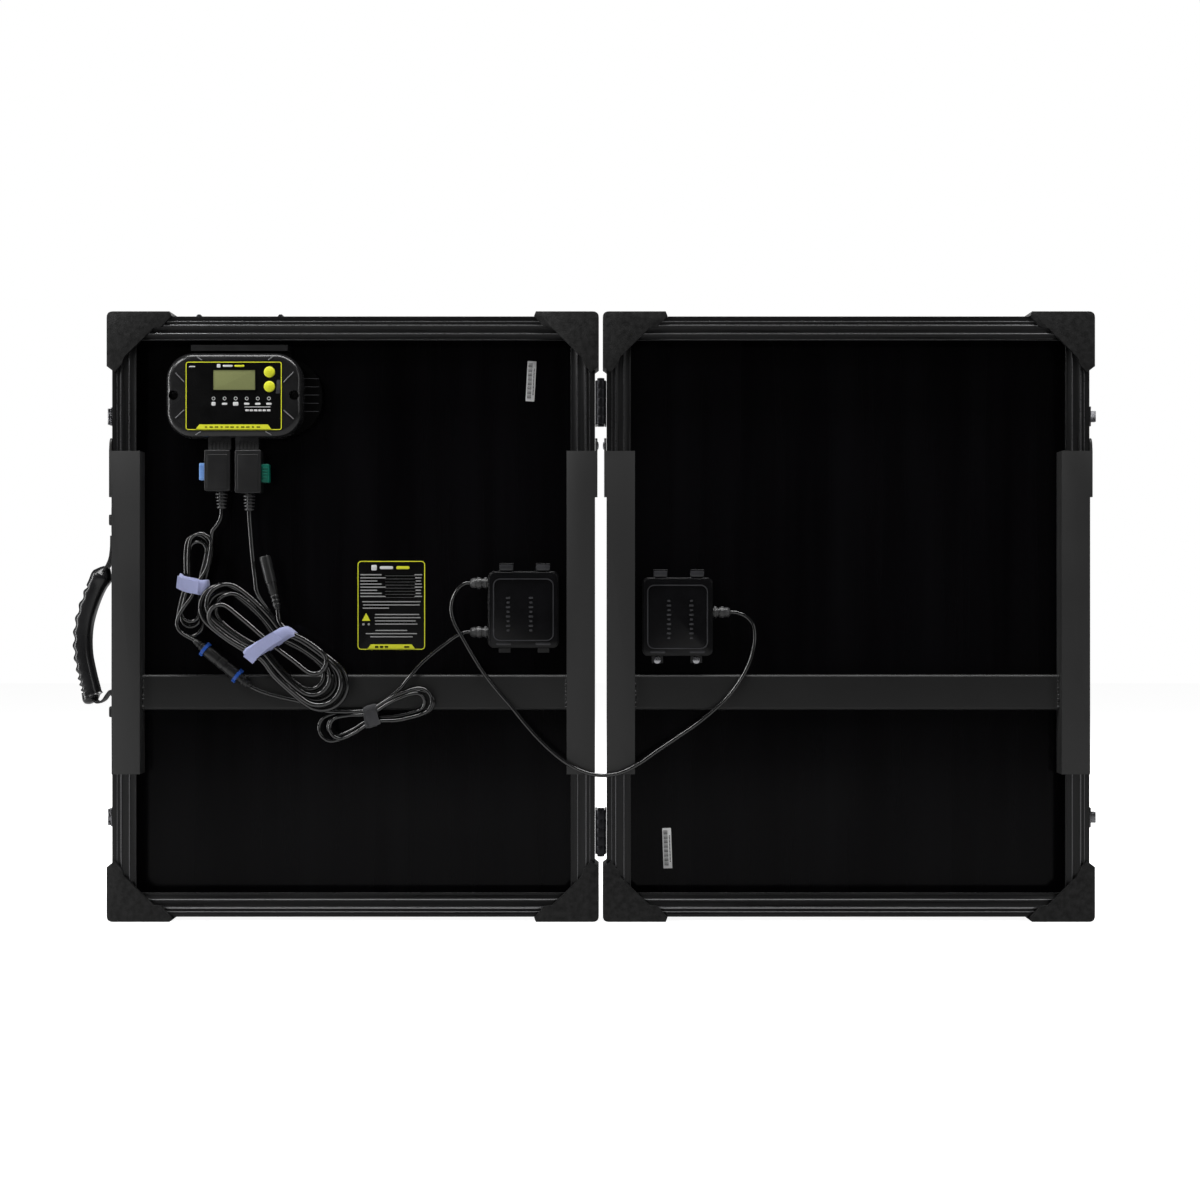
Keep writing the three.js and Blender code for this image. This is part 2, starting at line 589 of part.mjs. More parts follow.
// A hank of lead: an outline with round ends about the line from one end's centre to the other's.
function hank(start, end, radius, y) {
  const angle = Math.atan2(end[1] - start[1], end[0] - start[0]);
  const shape = new THREE.Shape();
  shape.absarc(end[0], end[1], radius, angle - Math.PI / 2, angle + Math.PI / 2);
  shape.absarc(start[0], start[1], radius, angle + Math.PI / 2, angle + Math.PI * 1.5);
  shape.closePath();
  return slab(shape, y, 14);
}

// A turned piece about the straight line between two points: [distance from the start, radius] along it.
function turned(start, end, profile, segments = 14) {
  const from = new THREE.Vector3(...start);
  const to = new THREE.Vector3(...end);
  const length = from.distanceTo(to);
  const points = [[0, 0], ...profile.map(([along, radius]) => [radius, along * length]), [0, length]];
  const geometry = new THREE.LatheGeometry(points.map((p) => new THREE.Vector2(...p)), segments);
  const turn = new THREE.Quaternion().setFromUnitVectors(
    new THREE.Vector3(0, 1, 0),
    to.clone().sub(from).normalize(),
  );
  return facingOut(geometry.applyQuaternion(turn).translate(...start));
}

const INLINE_CONNECTOR_PROFILE = [
  [0, 2.4], [0.1, 4], [0.16, 6], [0.17, 8.4], [0.22, 8.4], [0.23, 6.8],
  [0.6, 6.8], [0.72, 6.4], [0.74, 8.4], [0.79, 8.4], [0.8, 5.6], [0.9, 4], [1, 2.4],
];
const BARREL_PROFILE = [[0, 3.4], [0.28, 5.4], [0.5, 5.4], [0.51, 6.6], [0.97, 6.6], [1, 5.6]];

part('interconnecting_lead', tube(INTERCONNECT_ROUTE, LEAD_D, 64), cable);
part('panel_lead_run', tube(PANEL_RUN_ROUTE, LEAD_D, 18), cable);
part('panel_lead_hank', hank([-300, 215], [-200, 246], 17, [2.4, 11.4]), cable);
part('panel_lead_tail', tube(PANEL_TAIL_ROUTE, LEAD_D, 14), cable);
part('inline_connector', turned([-453, 4, 313], [-390.1, 4, 261.6], INLINE_CONNECTOR_PROFILE), gloss);
part('controller_lead_bundle', hank([-449, 418], [-459, 332], 17.2, [2.4, 14]), cable);
part('controller_lead_drop', tube(CONTROLLER_DROP_ROUTE, LEAD_D, 8), cable);
part('output_lead_run', tube(OUTPUT_RUN_ROUTE, OUTPUT_D, 14, 10), cable);
part('output_lead_hank', hank([-418, 352], [-310, 264], 31, [-12.7, 2]), cable);
part('output_connector', turned([-358.5, -5, 347.5], [-373, -5, 406.5], BARREL_PROFILE), gloss);

// ---------------------------------------------------------------- origin
// The origin is the middle of the base, measured without the leads.
const LEADS = /lead|connector|plug/;
const body = new THREE.Box3();
for (const mesh of model.children) {
  if (LEADS.test(mesh.name)) continue;
  mesh.geometry.computeBoundingBox();
  body.union(mesh.geometry.boundingBox);
}
const middle = body.getCenter(new THREE.Vector3());
model.position.set(-middle.x, -middle.y, 0);

export default model;
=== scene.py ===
"""Solar suitcase kit, seen from the back of the open case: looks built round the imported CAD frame."""
import json
import math

import bmesh
import bpy
from mathutils import Matrix, Vector

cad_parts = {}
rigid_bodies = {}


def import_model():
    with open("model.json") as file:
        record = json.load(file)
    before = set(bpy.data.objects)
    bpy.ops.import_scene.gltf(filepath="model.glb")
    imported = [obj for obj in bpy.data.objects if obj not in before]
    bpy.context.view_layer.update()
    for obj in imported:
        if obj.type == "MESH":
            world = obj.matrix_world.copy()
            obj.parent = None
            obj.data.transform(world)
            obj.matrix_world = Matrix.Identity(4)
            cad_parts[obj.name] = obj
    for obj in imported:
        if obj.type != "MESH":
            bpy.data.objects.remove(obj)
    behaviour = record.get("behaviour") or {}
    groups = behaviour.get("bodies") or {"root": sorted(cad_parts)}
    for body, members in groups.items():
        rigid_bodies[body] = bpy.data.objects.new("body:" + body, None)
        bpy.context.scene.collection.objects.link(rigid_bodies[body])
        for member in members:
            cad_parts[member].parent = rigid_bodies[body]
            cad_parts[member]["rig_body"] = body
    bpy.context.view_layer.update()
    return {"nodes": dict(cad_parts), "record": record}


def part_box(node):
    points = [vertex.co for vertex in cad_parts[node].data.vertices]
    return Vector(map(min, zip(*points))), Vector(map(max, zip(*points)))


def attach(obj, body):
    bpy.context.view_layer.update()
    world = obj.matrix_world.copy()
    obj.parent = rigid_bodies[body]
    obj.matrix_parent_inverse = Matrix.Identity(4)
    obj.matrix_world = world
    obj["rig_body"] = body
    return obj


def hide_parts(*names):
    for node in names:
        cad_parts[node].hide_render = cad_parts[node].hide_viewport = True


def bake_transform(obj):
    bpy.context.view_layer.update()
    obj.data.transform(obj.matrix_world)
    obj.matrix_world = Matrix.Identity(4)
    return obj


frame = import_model()

pin_low, pin_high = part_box("upper_hinge_pin")
FOLD = Vector(((pin_low.x + pin_high.x) / 2, (pin_low.y + pin_high.y) / 2, 0))


def at(x, y, z):
    """A point given in metres from the fold axis and the floor, in the row frame."""
    return FOLD + Vector((x, y, z))


# ---------------------------------------------------------------- camera
CAMERA_DISTANCE = 2.1
VIEW_WIDTH = 1.334
SENSOR = 36.0

camera_data = bpy.data.cameras.new("camera")
camera_data.sensor_width = SENSOR
camera_data.lens = SENSOR * CAMERA_DISTANCE / VIEW_WIDTH
camera = bpy.data.objects.new("camera", camera_data)
camera.location = at(-0.0009, -CAMERA_DISTANCE, 0.358)
camera.rotation_euler = (math.radians(90), 0, 0)
bpy.context.scene.collection.objects.link(camera)
bpy.context.scene.camera = camera


# ---------------------------------------------------------------- materials
def fill(node, values):
    """Puts values on a node's inputs, by socket name with _ for a space."""
    for socket, value in values.items():
        node.inputs[socket.replace("_", " ")].default_value = value
    return node


def add_node(tree, kind, **values):
    return fill(tree.nodes.new("ShaderNode" + kind), values)


class Nodes:
    """A Principled material being put together from texture nodes."""

    def __init__(self, name, color, roughness, metallic=0.0, **sockets):
        self.material = bpy.data.materials.new(name)
        self.material.use_nodes = True
        self.tree = self.material.node_tree
        self.shader = self.tree.nodes["Principled BSDF"]
        fill(self.shader, {"Base_Color": (*color, 1), "Roughness": roughness, "Metallic": metallic})
        fill(self.shader, sockets)
        self.place = add_node(self.tree, "TexCoord").outputs["Object"]
        self.bumped = None

    def link(self, source, target):
        self.tree.links.new(source, target)

    def noise(self, scale, detail=3.0, stretch=(1, 1, 1)):
        mapping = add_node(self.tree, "Mapping", Scale=stretch)
        self.link(self.place, mapping.inputs["Vector"])
        texture = add_node(self.tree, "TexNoise", Scale=scale, Detail=detail)
        self.link(mapping.outputs["Vector"], texture.inputs["Vector"])
        return texture.outputs["Fac"]

    def wave(self, scale, direction, distortion=0.0):
        texture = add_node(self.tree, "TexWave", Scale=scale, Distortion=distortion)
        texture.bands_direction = direction
        self.link(self.place, texture.inputs["Vector"])
        return texture.outputs["Fac"]

    def colors(self, factor, *stops):
        """Colours by a texture's value: stops are (place, colour)."""
        ramp = add_node(self.tree, "ValToRGB")
        while len(ramp.color_ramp.elements) < len(stops):
            ramp.color_ramp.elements.new(0.5)
        for element, (position, color) in zip(ramp.color_ramp.elements, stops):
            element.position = position
            element.color = (*color, 1)
        self.link(factor, ramp.inputs["Fac"])
        self.link(ramp.outputs["Color"], self.shader.inputs["Base Color"])
        return self

    def roughness(self, factor, low, high):
        spread = add_node(self.tree, "MapRange", From_Min=0.3, From_Max=0.7, To_Min=low, To_Max=high)
        self.link(factor, spread.inputs["Value"])
        self.link(spread.outputs["Result"], self.shader.inputs["Roughness"])
        return self

    def bump(self, factor, depth, strength=1.0):
        """Relief of that depth in metres, on top of any relief that is there already."""
        relief = add_node(self.tree, "Bump", Strength=strength, Distance=depth)
        self.link(factor, relief.inputs["Height"])
        if self.bumped:
            self.link(self.bumped, relief.inputs["Normal"])
        self.bumped = relief.outputs["Normal"]
        self.link(self.bumped, self.shader.inputs["Normal"])
        return self


def grey(level, blue=0.0):
    return (level, level, level * (1 + blue))


def anodised(name, stretch):
    m = Nodes(name, grey(0.01), 0.3, 0.5)
    streaks = m.noise(260, 4, stretch)
    m.colors(streaks, (0.25, grey(0.007, 0.04)), (0.75, grey(0.015, 0.04)))
    m.roughness(streaks, 0.24, 0.36)
    return m.bump(streaks, 0.00003, 0.4).material


def powder_coat_and_crossbar_shade():
    """Leg paint with painted shade: the crossbar between the arms is coloured darker than the arms at both
    ends of the frame's width, as the shade that falls on it.
    """
    m = Nodes("powder_coat_and_crossbar_shade", grey(0.02), 0.42, 0.0, Specular_IOR_Level=0.4)
    speckle = m.noise(1400, 2)
    # Painted shade on the crossbar: darker towards the middle of each piece's width, read from the Generated
    # x.
    split = add_node(m.tree, "SeparateXYZ")
    m.link(add_node(m.tree, "TexCoord").outputs["Generated"], split.inputs["Vector"])
    crossbar_shade_mask = add_node(m.tree, "Math")
    crossbar_shade_mask.operation = "PINGPONG"
    crossbar_shade_mask.inputs[1].default_value = 0.5
    m.link(split.outputs["X"], crossbar_shade_mask.inputs[0])
    m.colors(crossbar_shade_mask.outputs["Value"], (0.064, grey(0.024)), (0.068, grey(0.007)))
    m.roughness(m.noise(9, 3), 0.36, 0.46)
    return m.bump(speckle, 0.00004, 0.4).material


def moulded():
    m = Nodes("moulded_plastic", grey(0.01), 0.55, 0.0, Specular_IOR_Level=0.28)
    grain = m.noise(520, 3)
    m.colors(m.noise(160, 6), (0.35, grey(0.003)), (0.65, grey(0.014)))
    m.roughness(grain, 0.42, 0.6)
    return m.bump(grain, 0.0005, 0.8).material


def satin(name, level, roughness, blue=0.05, depth=0.000006, specular=0.5):
    m = Nodes(name, grey(level, blue), roughness, 0.0, Specular_IOR_Level=specular)
    grain = m.noise(2400, 2)
    m.colors(m.noise(60, 3), (0.3, grey(level * 0.8, blue)), (0.7, grey(level * 1.25, blue)))
    m.roughness(m.noise(30, 2), roughness - 0.03, roughness + 0.04)
    return m.bump(grain, depth, 0.35).material


def backsheet():
    m = Nodes("backsheet", (0.0018, 0.0016, 0.002), 0.12, 0.0, Specular_IOR_Level=0.08)
    film = m.noise(30, 3, (1, 1, 0.05))
    m.colors(film, (0.3, (0.0012, 0.001, 0.0014)), (0.7, (0.003, 0.0028, 0.0034)))
    m.roughness(m.noise(5, 4), 0.07, 0.2)
    return m.bump(film, 0.0004, 0.1).material


def metal(name, color, roughness, depth=0.00008):
    m = Nodes(name, color, roughness, 1.0)
    scratches = m.noise(500, 4, (1, 1, 6))
    m.colors(scratches, (0.25, tuple(c * 0.8 for c in color)), (0.75, color))
    m.roughness(scratches, roughness - 0.07, roughness + 0.1)
    return m.bump(scratches, depth, 0.3).material


def woven(name, low, high, pitch, across="X", along="Z"):
    m = Nodes(name, high, 0.85, 0.0, Sheen_Weight=0.3)
    scale = 1 / pitch / 3.2
    rows = m.wave(scale, along, distortion=0.4)
    columns = m.wave(scale * 0.8, across, distortion=0.4)
    m.colors(rows, (0.2, low), (0.9, high))
    m.bump(rows, 0.0003, 0.7)
    return m.bump(columns, 0.0002, 0.6).material


def jacket():
    m = Nodes("cable_jacket", grey(0.002, 0.1), 0.15, 0.0, Specular_IOR_Level=1.0)
    m.colors(m.noise(40, 2), (0.3, grey(0.0015, 0.1)), (0.7, grey(0.003, 0.1)))
    return m.roughness(m.noise(25, 2), 0.13, 0.18).material


def printed(name, color, roughness=0.4):
    m = Nodes(name, color, roughness)
    specks = m.noise(900, 3)
    m.colors(specks, (0.25, tuple(c * 0.88 for c in color)), (0.7, color))
    m.roughness(specks, roughness - 0.05, roughness + 0.08)
    return m.bump(specks, 0.00003, 0.3).material


def solar_cell():
    m = Nodes("solar_cell", (0.006, 0.008, 0.03), 0.25, 0.0, Coat_Weight=1.0, Coat_Roughness=0.04)
    fingers = m.wave(170, "Z")
    m.colors(fingers, (0.0, (0.004, 0.006, 0.022)), (0.9, (0.01, 0.014, 0.045)))
    m.roughness(m.noise(14, 3), 0.2, 0.32)
    return m.bump(fingers, 0.00005, 0.2).material


MATERIALS = {
    "rail_along_x": anodised("anodised_along_x", (0.03, 1, 1)),
    "rail_along_z": anodised("anodised_along_z", (1, 1, 0.03)),
    "powder": powder_coat_and_crossbar_shade(),
    "moulded": moulded(),
    "backsheet": backsheet(),
    "hinge": metal("blackened_steel", (0.03, 0.03, 0.033), 0.36),
    "steel": metal("nickel_plate", (0.55, 0.55, 0.58), 0.22),
    # Painted highlights for the rail ridges: light metal on the top and bottom rails, a darker copy on the
    # uprights, by how the top light falls.
    "rail_ridge_highlight": metal("painted_ridge_highlight", (0.42, 0.42, 0.43), 0.3),
    "upright_ridge_highlight": metal("painted_upright_ridge_highlight", (0.14, 0.14, 0.145), 0.3),
    "latch": metal("dark_nickel_plate", (0.2, 0.2, 0.21), 0.22),
    "housing": satin("housing_plastic", 0.009, 0.24),
    "box": satin("box_plastic", 0.0025, 0.2, 0.2, specular=0.3),
    # Painted highlight: the box plastic made lighter for raised lid details and fin edges that catch the
    # light.
    "box_edge": satin("box_plastic_painted_highlight", 0.03, 0.24, 0.1),
    # Gland plastic, a lighter grey; on the plugs' strain reliefs it serves as a painted highlight on the
    # ribs.
    "gland": satin("gland_plastic", 0.05, 0.3, 0.02),
    "plug": satin("plug_plastic", 0.008, 0.36),
    "well": satin("recess_black", 0.004, 0.7),
    "sink": satin("sink_anodised", 0.0008, 0.6, specular=0.04),
    "bracket": satin("bracket_paint", 0.008, 0.5, specular=0.3),
    # Painted highlight: light grey for the controller's ribs, where they catch the light.
    "rib": satin("rib_painted_highlight", 0.16, 0.3),
    "rubber": satin("grip_rubber", 0.007, 0.27, 0.12, 0.00002),
    "webbing": woven("webbing", grey(0.004), grey(0.016), 0.0012, "Y", "Z"),
    "jacket": jacket(),
    "tie_pale": woven("tie_lavender", (0.23, 0.25, 0.42), (0.46, 0.49, 0.78), 0.0011),
    "tie_dark": woven("tie_dark", grey(0.006, 0.1), grey(0.03, 0.2), 0.0011),
    "lime": printed("lime_print", (0.76, 0.78, 0.03)),
    "yellow": printed("yellow_button", (0.76, 0.78, 0.02), 0.45),
    "white": printed("white_print", grey(0.72)),
    "fine": printed("fine_print", grey(0.34)),
    "ink": satin("black_print", 0.0025, 0.25, specular=0.2),
    "display": printed("display_glass", (0.24, 0.26, 0.11), 0.16),
    "blue": printed("blue_plastic", (0.01, 0.07, 0.36), 0.35),
    "pale_blue": printed("pale_blue_plastic", (0.22, 0.42, 0.85), 0.35),
    "teal": printed("teal_plastic", (0.0, 0.14, 0.095), 0.35),
    "cell": solar_cell(),
    "busbar": metal("busbar", (0.5, 0.5, 0.52), 0.3),
}


# ---------------------------------------------------------------- making pieces
# The body of pieces on the left panel, and the name of a material slot that is passed along but not used.
CASE = ("left_panel", "controller_plastic")
LABEL_FACE = ("left_panel", "laminate")
CONNECTOR = ("left_panel", "connector_plastic")
PLUG = ("left_panel", "plug_plastic")


def finish_piece(obj, body, material):
    obj.data.materials.clear()
    obj.data.materials.append(MATERIALS[material])
    if body:
        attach(obj, body)
    return obj


def new_object(name, data):
    obj = bpy.data.objects.new(name, data)
    bpy.context.scene.collection.objects.link(obj)
    return obj


def shade(obj, angle=35):
    """Smooth shading, with edges sharper than the angle kept crisp."""
    for polygon in obj.data.polygons:
        polygon.use_smooth = True
    obj.data.set_sharp_from_angle(angle=math.radians(angle))


def from_bmesh(name, bm, body, slot, material, angle=35):
    bmesh.ops.recalc_face_normals(bm, faces=bm.faces)
    mesh = bpy.data.meshes.new(name)
    bm.to_mesh(mesh)
    bm.free()
    obj = new_object(name, mesh)
    shade(obj, angle)
    return finish_piece(obj, body, material)


def add_skin(bm, rings, closed=True):
    """Faces between neighbouring rings of points. A closed skin also joins the last ring to the first."""
    loops = [[bm.verts.new(p) for p in ring] for ring in rings]
    following = loops[1:] + loops[:1] if closed else loops[1:]
    for near, far in zip(loops, following):
        for i in range(len(near)):
            j = (i + 1) % len(near)
            bm.faces.new((near[i], near[j], far[j], far[i]))
    return loops


def add_loft(bm, rings):
    """A skin through rings of points, with both ends capped."""
    loops = add_skin(bm, rings, closed=False)
    bm.faces.new(loops[0][::-1])
    bm.faces.new(loops[-1])


def loft(name, rings, body, slot, material, angle=35):
    bm = bmesh.new()
    add_loft(bm, rings)
    return from_bmesh(name, bm, body, slot, material, angle)


def rounded(w, h, r, corner=6):
    """The outline of a rectangle with round corners, about its middle."""
    points = []
    for k, (sx, sz) in enumerate([(1, -1), (1, 1), (-1, 1), (-1, -1)]):
        for n in range(corner + 1):
            a = math.radians(-90 + 90 * (k + n / corner))
            points.append((sx * (w / 2 - r) + r * math.cos(a), sz * (h / 2 - r) + r * math.sin(a)))
    return points


def slab_rings(centre, size, radius, depth, fillet, corner=6, steps=4):
    """Rings of a slab that faces -Y, with a rounded front edge. depth is (back y, front y)."""
    (cx, cz), (w, h), (back, front) = centre, size, depth
    insets = [(0.0, back)]
    for n in range(steps + 1):
        a = math.radians(90 * n / steps)
        insets.append((fillet * (1 - math.cos(a)), front + fillet * (1 - math.sin(a))))
    return [
        [at(cx + u, y, cz + v) for u, v in rounded(w - 2 * i, h - 2 * i, max(radius - i, 0.0002), corner)]
        for i, y in insets
    ]


def slab(name, centre, size, radius, depth, body, slot, material, fillet=0.0003, corner=6):
    return loft(name, slab_rings(centre, size, radius, depth, fillet, corner), body, slot, material)


def slabs(name, places, radius, depth, body, slot, material, fillet=0.0001, corner=2, turn=0.0):
    """Several small slabs as one piece. Each place is ((x, z), (width, height))."""
    bm = bmesh.new()
    for centre, size in places:
        fitting = min(radius, *(s / 2.05 for s in size))
        add_loft(bm, slab_rings(centre, size, fitting, depth, fillet, corner, 2))
    if turn:
        middle = sum((Vector(v.co) for v in bm.verts), Vector()) / len(bm.verts)
        bmesh.ops.rotate(bm, verts=bm.verts, cent=middle, matrix=Matrix.Rotation(turn, 3, "Y"))
    return from_bmesh(name, bm, body, slot, material)


def ring_slab(name, centre, size, radius, line, depth, body, slot, material):
    """A flat frame: a line of that width inside a rounded rectangle."""
    (cx, cz), (w, h), (back, front) = centre, size, depth
    inner = rounded(w - 2 * line, h - 2 * line, max(radius - line, 0.0002))
    outer = rounded(w, h, radius)
    outlines = ((outer, back), (outer, front), (inner, front), (inner, back))
    bm = bmesh.new()
    add_skin(bm, [[at(cx + u, y, cz + v) for u, v in outline] for outline, y in outlines])
    return from_bmesh(name, bm, body, slot, material)


def lathe_rings(start, end, profile, segments=24):
    """Rings about the line from start to end: the profile's points are (share of the way, radius)."""
    start, end = Vector(start), Vector(end)
    axis = (end - start).normalized()
    side = axis.orthogonal().normalized()
    other = axis.cross(side)
    turns = [2 * math.pi * k / segments for k in range(segments)]
    return [
        [start + (end - start) * t + (side * math.cos(a) + other * math.sin(a)) * r for a in turns]
        for t, r in profile
    ]


def lathe(name, start, end, profile, body, slot, material, segments=24):
    return loft(name, lathe_rings(start, end, profile, segments), body, slot, material, 40)


def discs(name, spots, radius, depth, body, slot, material, dome):
    """Round heads that face -Y at each (x, z), with domed fronts."""
    back, front = depth
    shares = ((0, 1), (0.55, 1), (0.85, 0.93), (1, 0.72), (1 + dome, 0.3))
    profile = [(share, radius * part) for share, part in shares]
    bm = bmesh.new()
    for x, z in spots:
        add_loft(bm, lathe_rings(at(x, back, z), at(x, front, z), profile, 20))
    return from_bmesh(name, bm, body, slot, material)


SHARP_EDGE = math.radians(30)


def softened(node, material, width, segments=2):
    """A copy of a CAD node with its edges rounded, which stands for the node."""
    source = frame["nodes"][node]
    bm = bmesh.new()
    bm.from_mesh(source.data)
    bmesh.ops.remove_doubles(bm, verts=bm.verts, dist=1e-6)
    bmesh.ops.dissolve_limit(bm, angle_limit=math.radians(1), verts=bm.verts, edges=bm.edges)
    edges = [e for e in bm.edges if e.is_manifold and e.calc_face_angle(0) > SHARP_EDGE]
    bmesh.ops.bevel(
        bm, geom=edges, offset=width, offset_type="OFFSET", segments=segments, profile=0.5,
        affect="EDGES", clamp_overlap=True)
    slot_name = next(s["material_slot"] for s in frame["record"]["subparts"] if s["node"] == node)
    obj = from_bmesh(node + "_shaped", bm, source["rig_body"], slot_name, material)
    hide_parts(node)


def keep(node, material):
    """The CAD node stays, with a better material."""
    finish_piece(frame["nodes"][node], None, material)


def carve(obj, cutters):
    """Cuts the cutters out of a piece and removes them."""
    for cutter in cutters:
        modifier = obj.modifiers.new("cut", "BOOLEAN")
        modifier.operation = "DIFFERENCE"
        modifier.object = cutter
    bpy.context.view_layer.update()
    cut = bpy.data.meshes.new_from_object(obj.evaluated_get(bpy.context.evaluated_depsgraph_get()))
    obj.modifiers.clear()
    obj.data = cut
    shade(obj)
    for cutter in cutters:
        bpy.data.objects.remove(cutter)


# ---------------------------------------------------------------- leads
LEAD_D = 0.0045
OUTPUT_D = 0.0056

INTERCONNECT_ROUTE = [
    (-0.1472, 0.024, 0.377), (-0.152, 0.024, 0.3768), (-0.1605, 0.0228, 0.3705), (-0.1666, 0.0195, 0.358),
    (-0.1676, 0.017, 0.345), (-0.1635, 0.0154, 0.331), (-0.1559, 0.014, 0.3175), (-0.144, 0.012, 0.297),
    (-0.1305, 0.01, 0.276), (-0.115, 0.0088, 0.256), (-0.0992, 0.0074, 0.238), (-0.084, 0.0045, 0.2195),
    (-0.068, 0.001, 0.202), (-0.054, -0.0012, 0.189), (-0.0414, -0.0016, 0.179), (-0.025, -0.0016, 0.1696),
    (-0.01, -0.0016, 0.1646), (0.0044, -0.0016, 0.1632), (0.018, -0.0016, 0.165), (0.031, -0.0016, 0.1698),
    (0.047, -0.0012, 0.179), (0.0623, 0.001, 0.1897), (0.084, 0.0045, 0.204), (0.1058, 0.0074, 0.2186),
    (0.125, 0.009, 0.234), (0.1419, 0.0102, 0.25), (0.154, 0.0112, 0.266), (0.1636, 0.013, 0.2826),
    (0.1705, 0.016, 0.301), (0.1728, 0.019, 0.318), (0.1705, 0.022, 0.331), (0.162, 0.0238, 0.3402),
    (0.151, 0.024, 0.344), (0.1458, 0.024, 0.3442),
]
PANEL_RUN_ROUTE = [
    (-0.1472, 0.024, 0.3219), (-0.1525, 0.024, 0.3216), (-0.162, 0.0236, 0.3175), (-0.174, 0.0224, 0.309),
    (-0.187, 0.0196, 0.299), (-0.2, 0.0152, 0.2875), (-0.21, 0.0105, 0.2765), (-0.218, 0.0082, 0.267),
    (-0.2234, 0.0072, 0.2598),
]
PANEL_TAIL_ROUTE = [
    (-0.3062, 0.0069, 0.2342), (-0.318, 0.0069, 0.2395), (-0.332, 0.0069, 0.2435), (-0.3456, 0.0066, 0.2469),
    (-0.36, 0.006, 0.2502), (-0.374, 0.005, 0.2543), (-0.384, 0.0042, 0.2584), (-0.3896, 0.004, 0.2612),
]
CONTROLLER_DROP_ROUTE = [
    (-0.4232, 0.008, 0.4593), (-0.4234, 0.008, 0.454), (-0.425, 0.008, 0.4475), (-0.4286, 0.008, 0.441),
    (-0.4334, 0.008, 0.4346),
]
OUTPUT_RUN_ROUTE = [
    (-0.3923, 0.008, 0.457), (-0.392, 0.0078, 0.448), (-0.3906, 0.0064, 0.434), (-0.3886, 0.0032, 0.416),
    (-0.386, -0.0008, 0.397), (-0.3834, -0.004, 0.38), (-0.3808, -0.0053, 0.3654),
]


def smooth(points, per_span=5):
    """Points along a centripetal Catmull-Rom curve through the given ones."""
    points = [Vector(p) for p in points]
    ends = [points[0] * 2 - points[1]] + points + [points[-1] * 2 - points[-2]]
    path = []
    for p0, p1, p2, p3 in zip(ends, ends[1:], ends[2:], ends[3:]):
        t1 = (p1 - p0).length ** 0.5
        t2 = t1 + (p2 - p1).length ** 0.5
        t3 = t2 + (p3 - p2).length ** 0.5
        for k in range(per_span):
            t = t1 + (t2 - t1) * k / per_span
            a1 = p0 * ((t1 - t) / t1) + p1 * (t / t1)
            a2 = p1 * ((t2 - t) / (t2 - t1)) + p2 * ((t - t1) / (t2 - t1))
            a3 = p2 * ((t3 - t) / (t3 - t2)) + p3 * ((t - t2) / (t3 - t2))
            b1 = a1 * ((t2 - t) / t2) + a2 * (t / t2)
            b2 = a2 * ((t3 - t) / (t3 - t1)) + a3 * ((t - t1) / (t3 - t1))
            path.append(b1 * ((t2 - t) / (t2 - t1)) + b2 * ((t - t1) / (t2 - t1)))
    return path + [points[-1]]


class Hank:
    """A hank's own frame: along it from start to end, across it, and the depth y."""

    def __init__(self, start, end, across, tie, pinch):
        self.tie = tie
        self.pinch = pinch
        self.start = Vector((start[0], 0, start[1]))
        run = Vector((end[0], 0, end[1])) - self.start
        self.length = run.length
        self.along = run.normalized()
        self.across = Vector((across[0], 0, across[1])).normalized()

    def point(self, u, v, y):
        nearness = math.exp(-(((u - self.tie) / 0.021) ** 2))
        v *= 1 - nearness * min(self.pinch / max(abs(v), 1e-6), 0.7)
        return self.bare_point(u, v, y)

    def bare_point(self, u, v, y):
        p = self.start + self.along * u + self.across * v
        return Vector((p.x, y, p.z))

    def folds(self, strands, first, last, forward=True):
        """A lead folded to and fro. Each strand is (across, depth, where its fold's centre is)."""
        points = []
        here = first
        for n, (v, y, turn) in enumerate(strands):
            final = n == len(strands) - 1
            there = last if final else turn
            points += [self.point(here + (there - here) * k / 6, v, y) for k in range(7)]
            if final:
                break
            next_v, next_y, _ = strands[n + 1]
            middle, radius = (v + next_v) / 2, (v - next_v) / 2
            reach = abs(radius) if forward == (n % 2 == 0) else -abs(radius)
            for k in range(1, 8):
                a = math.pi * k / 8
                outward = reach * math.sin(a)
                points.append(self.point(
                    there + outward, middle + radius * math.cos(a), y + (next_y - y) * k / 8))
            here = there
        return points


def curve_lead(name, points, diameter):
    path = smooth(points)
    data = bpy.data.curves.new(name, "CURVE")
    data.dimensions = "3D"
    data.bevel_depth = diameter / 2
    data.bevel_resolution = 3
    data.use_fill_caps = True
    spline = data.splines.new("POLY")
    spline.points.add(len(path) - 1)
    for point, place in zip(spline.points, path):
        point.co = (*at(*place), 1)
    spline.use_smooth = True
    return new_object(name, data)


small = Hank((-0.3, 0.215), (-0.2, 0.246), (-0.296, 0.955), tie=0.046, pinch=0.0075)
bundle = Hank((-0.449, 0.418), (-0.459, 0.332), (0.9933, -0.1155), tie=0.0425, pinch=0.004)
large = Hank((-0.418, 0.352), (-0.31, 0.264), (0.632, 0.775), tie=0.067, pinch=0.007)

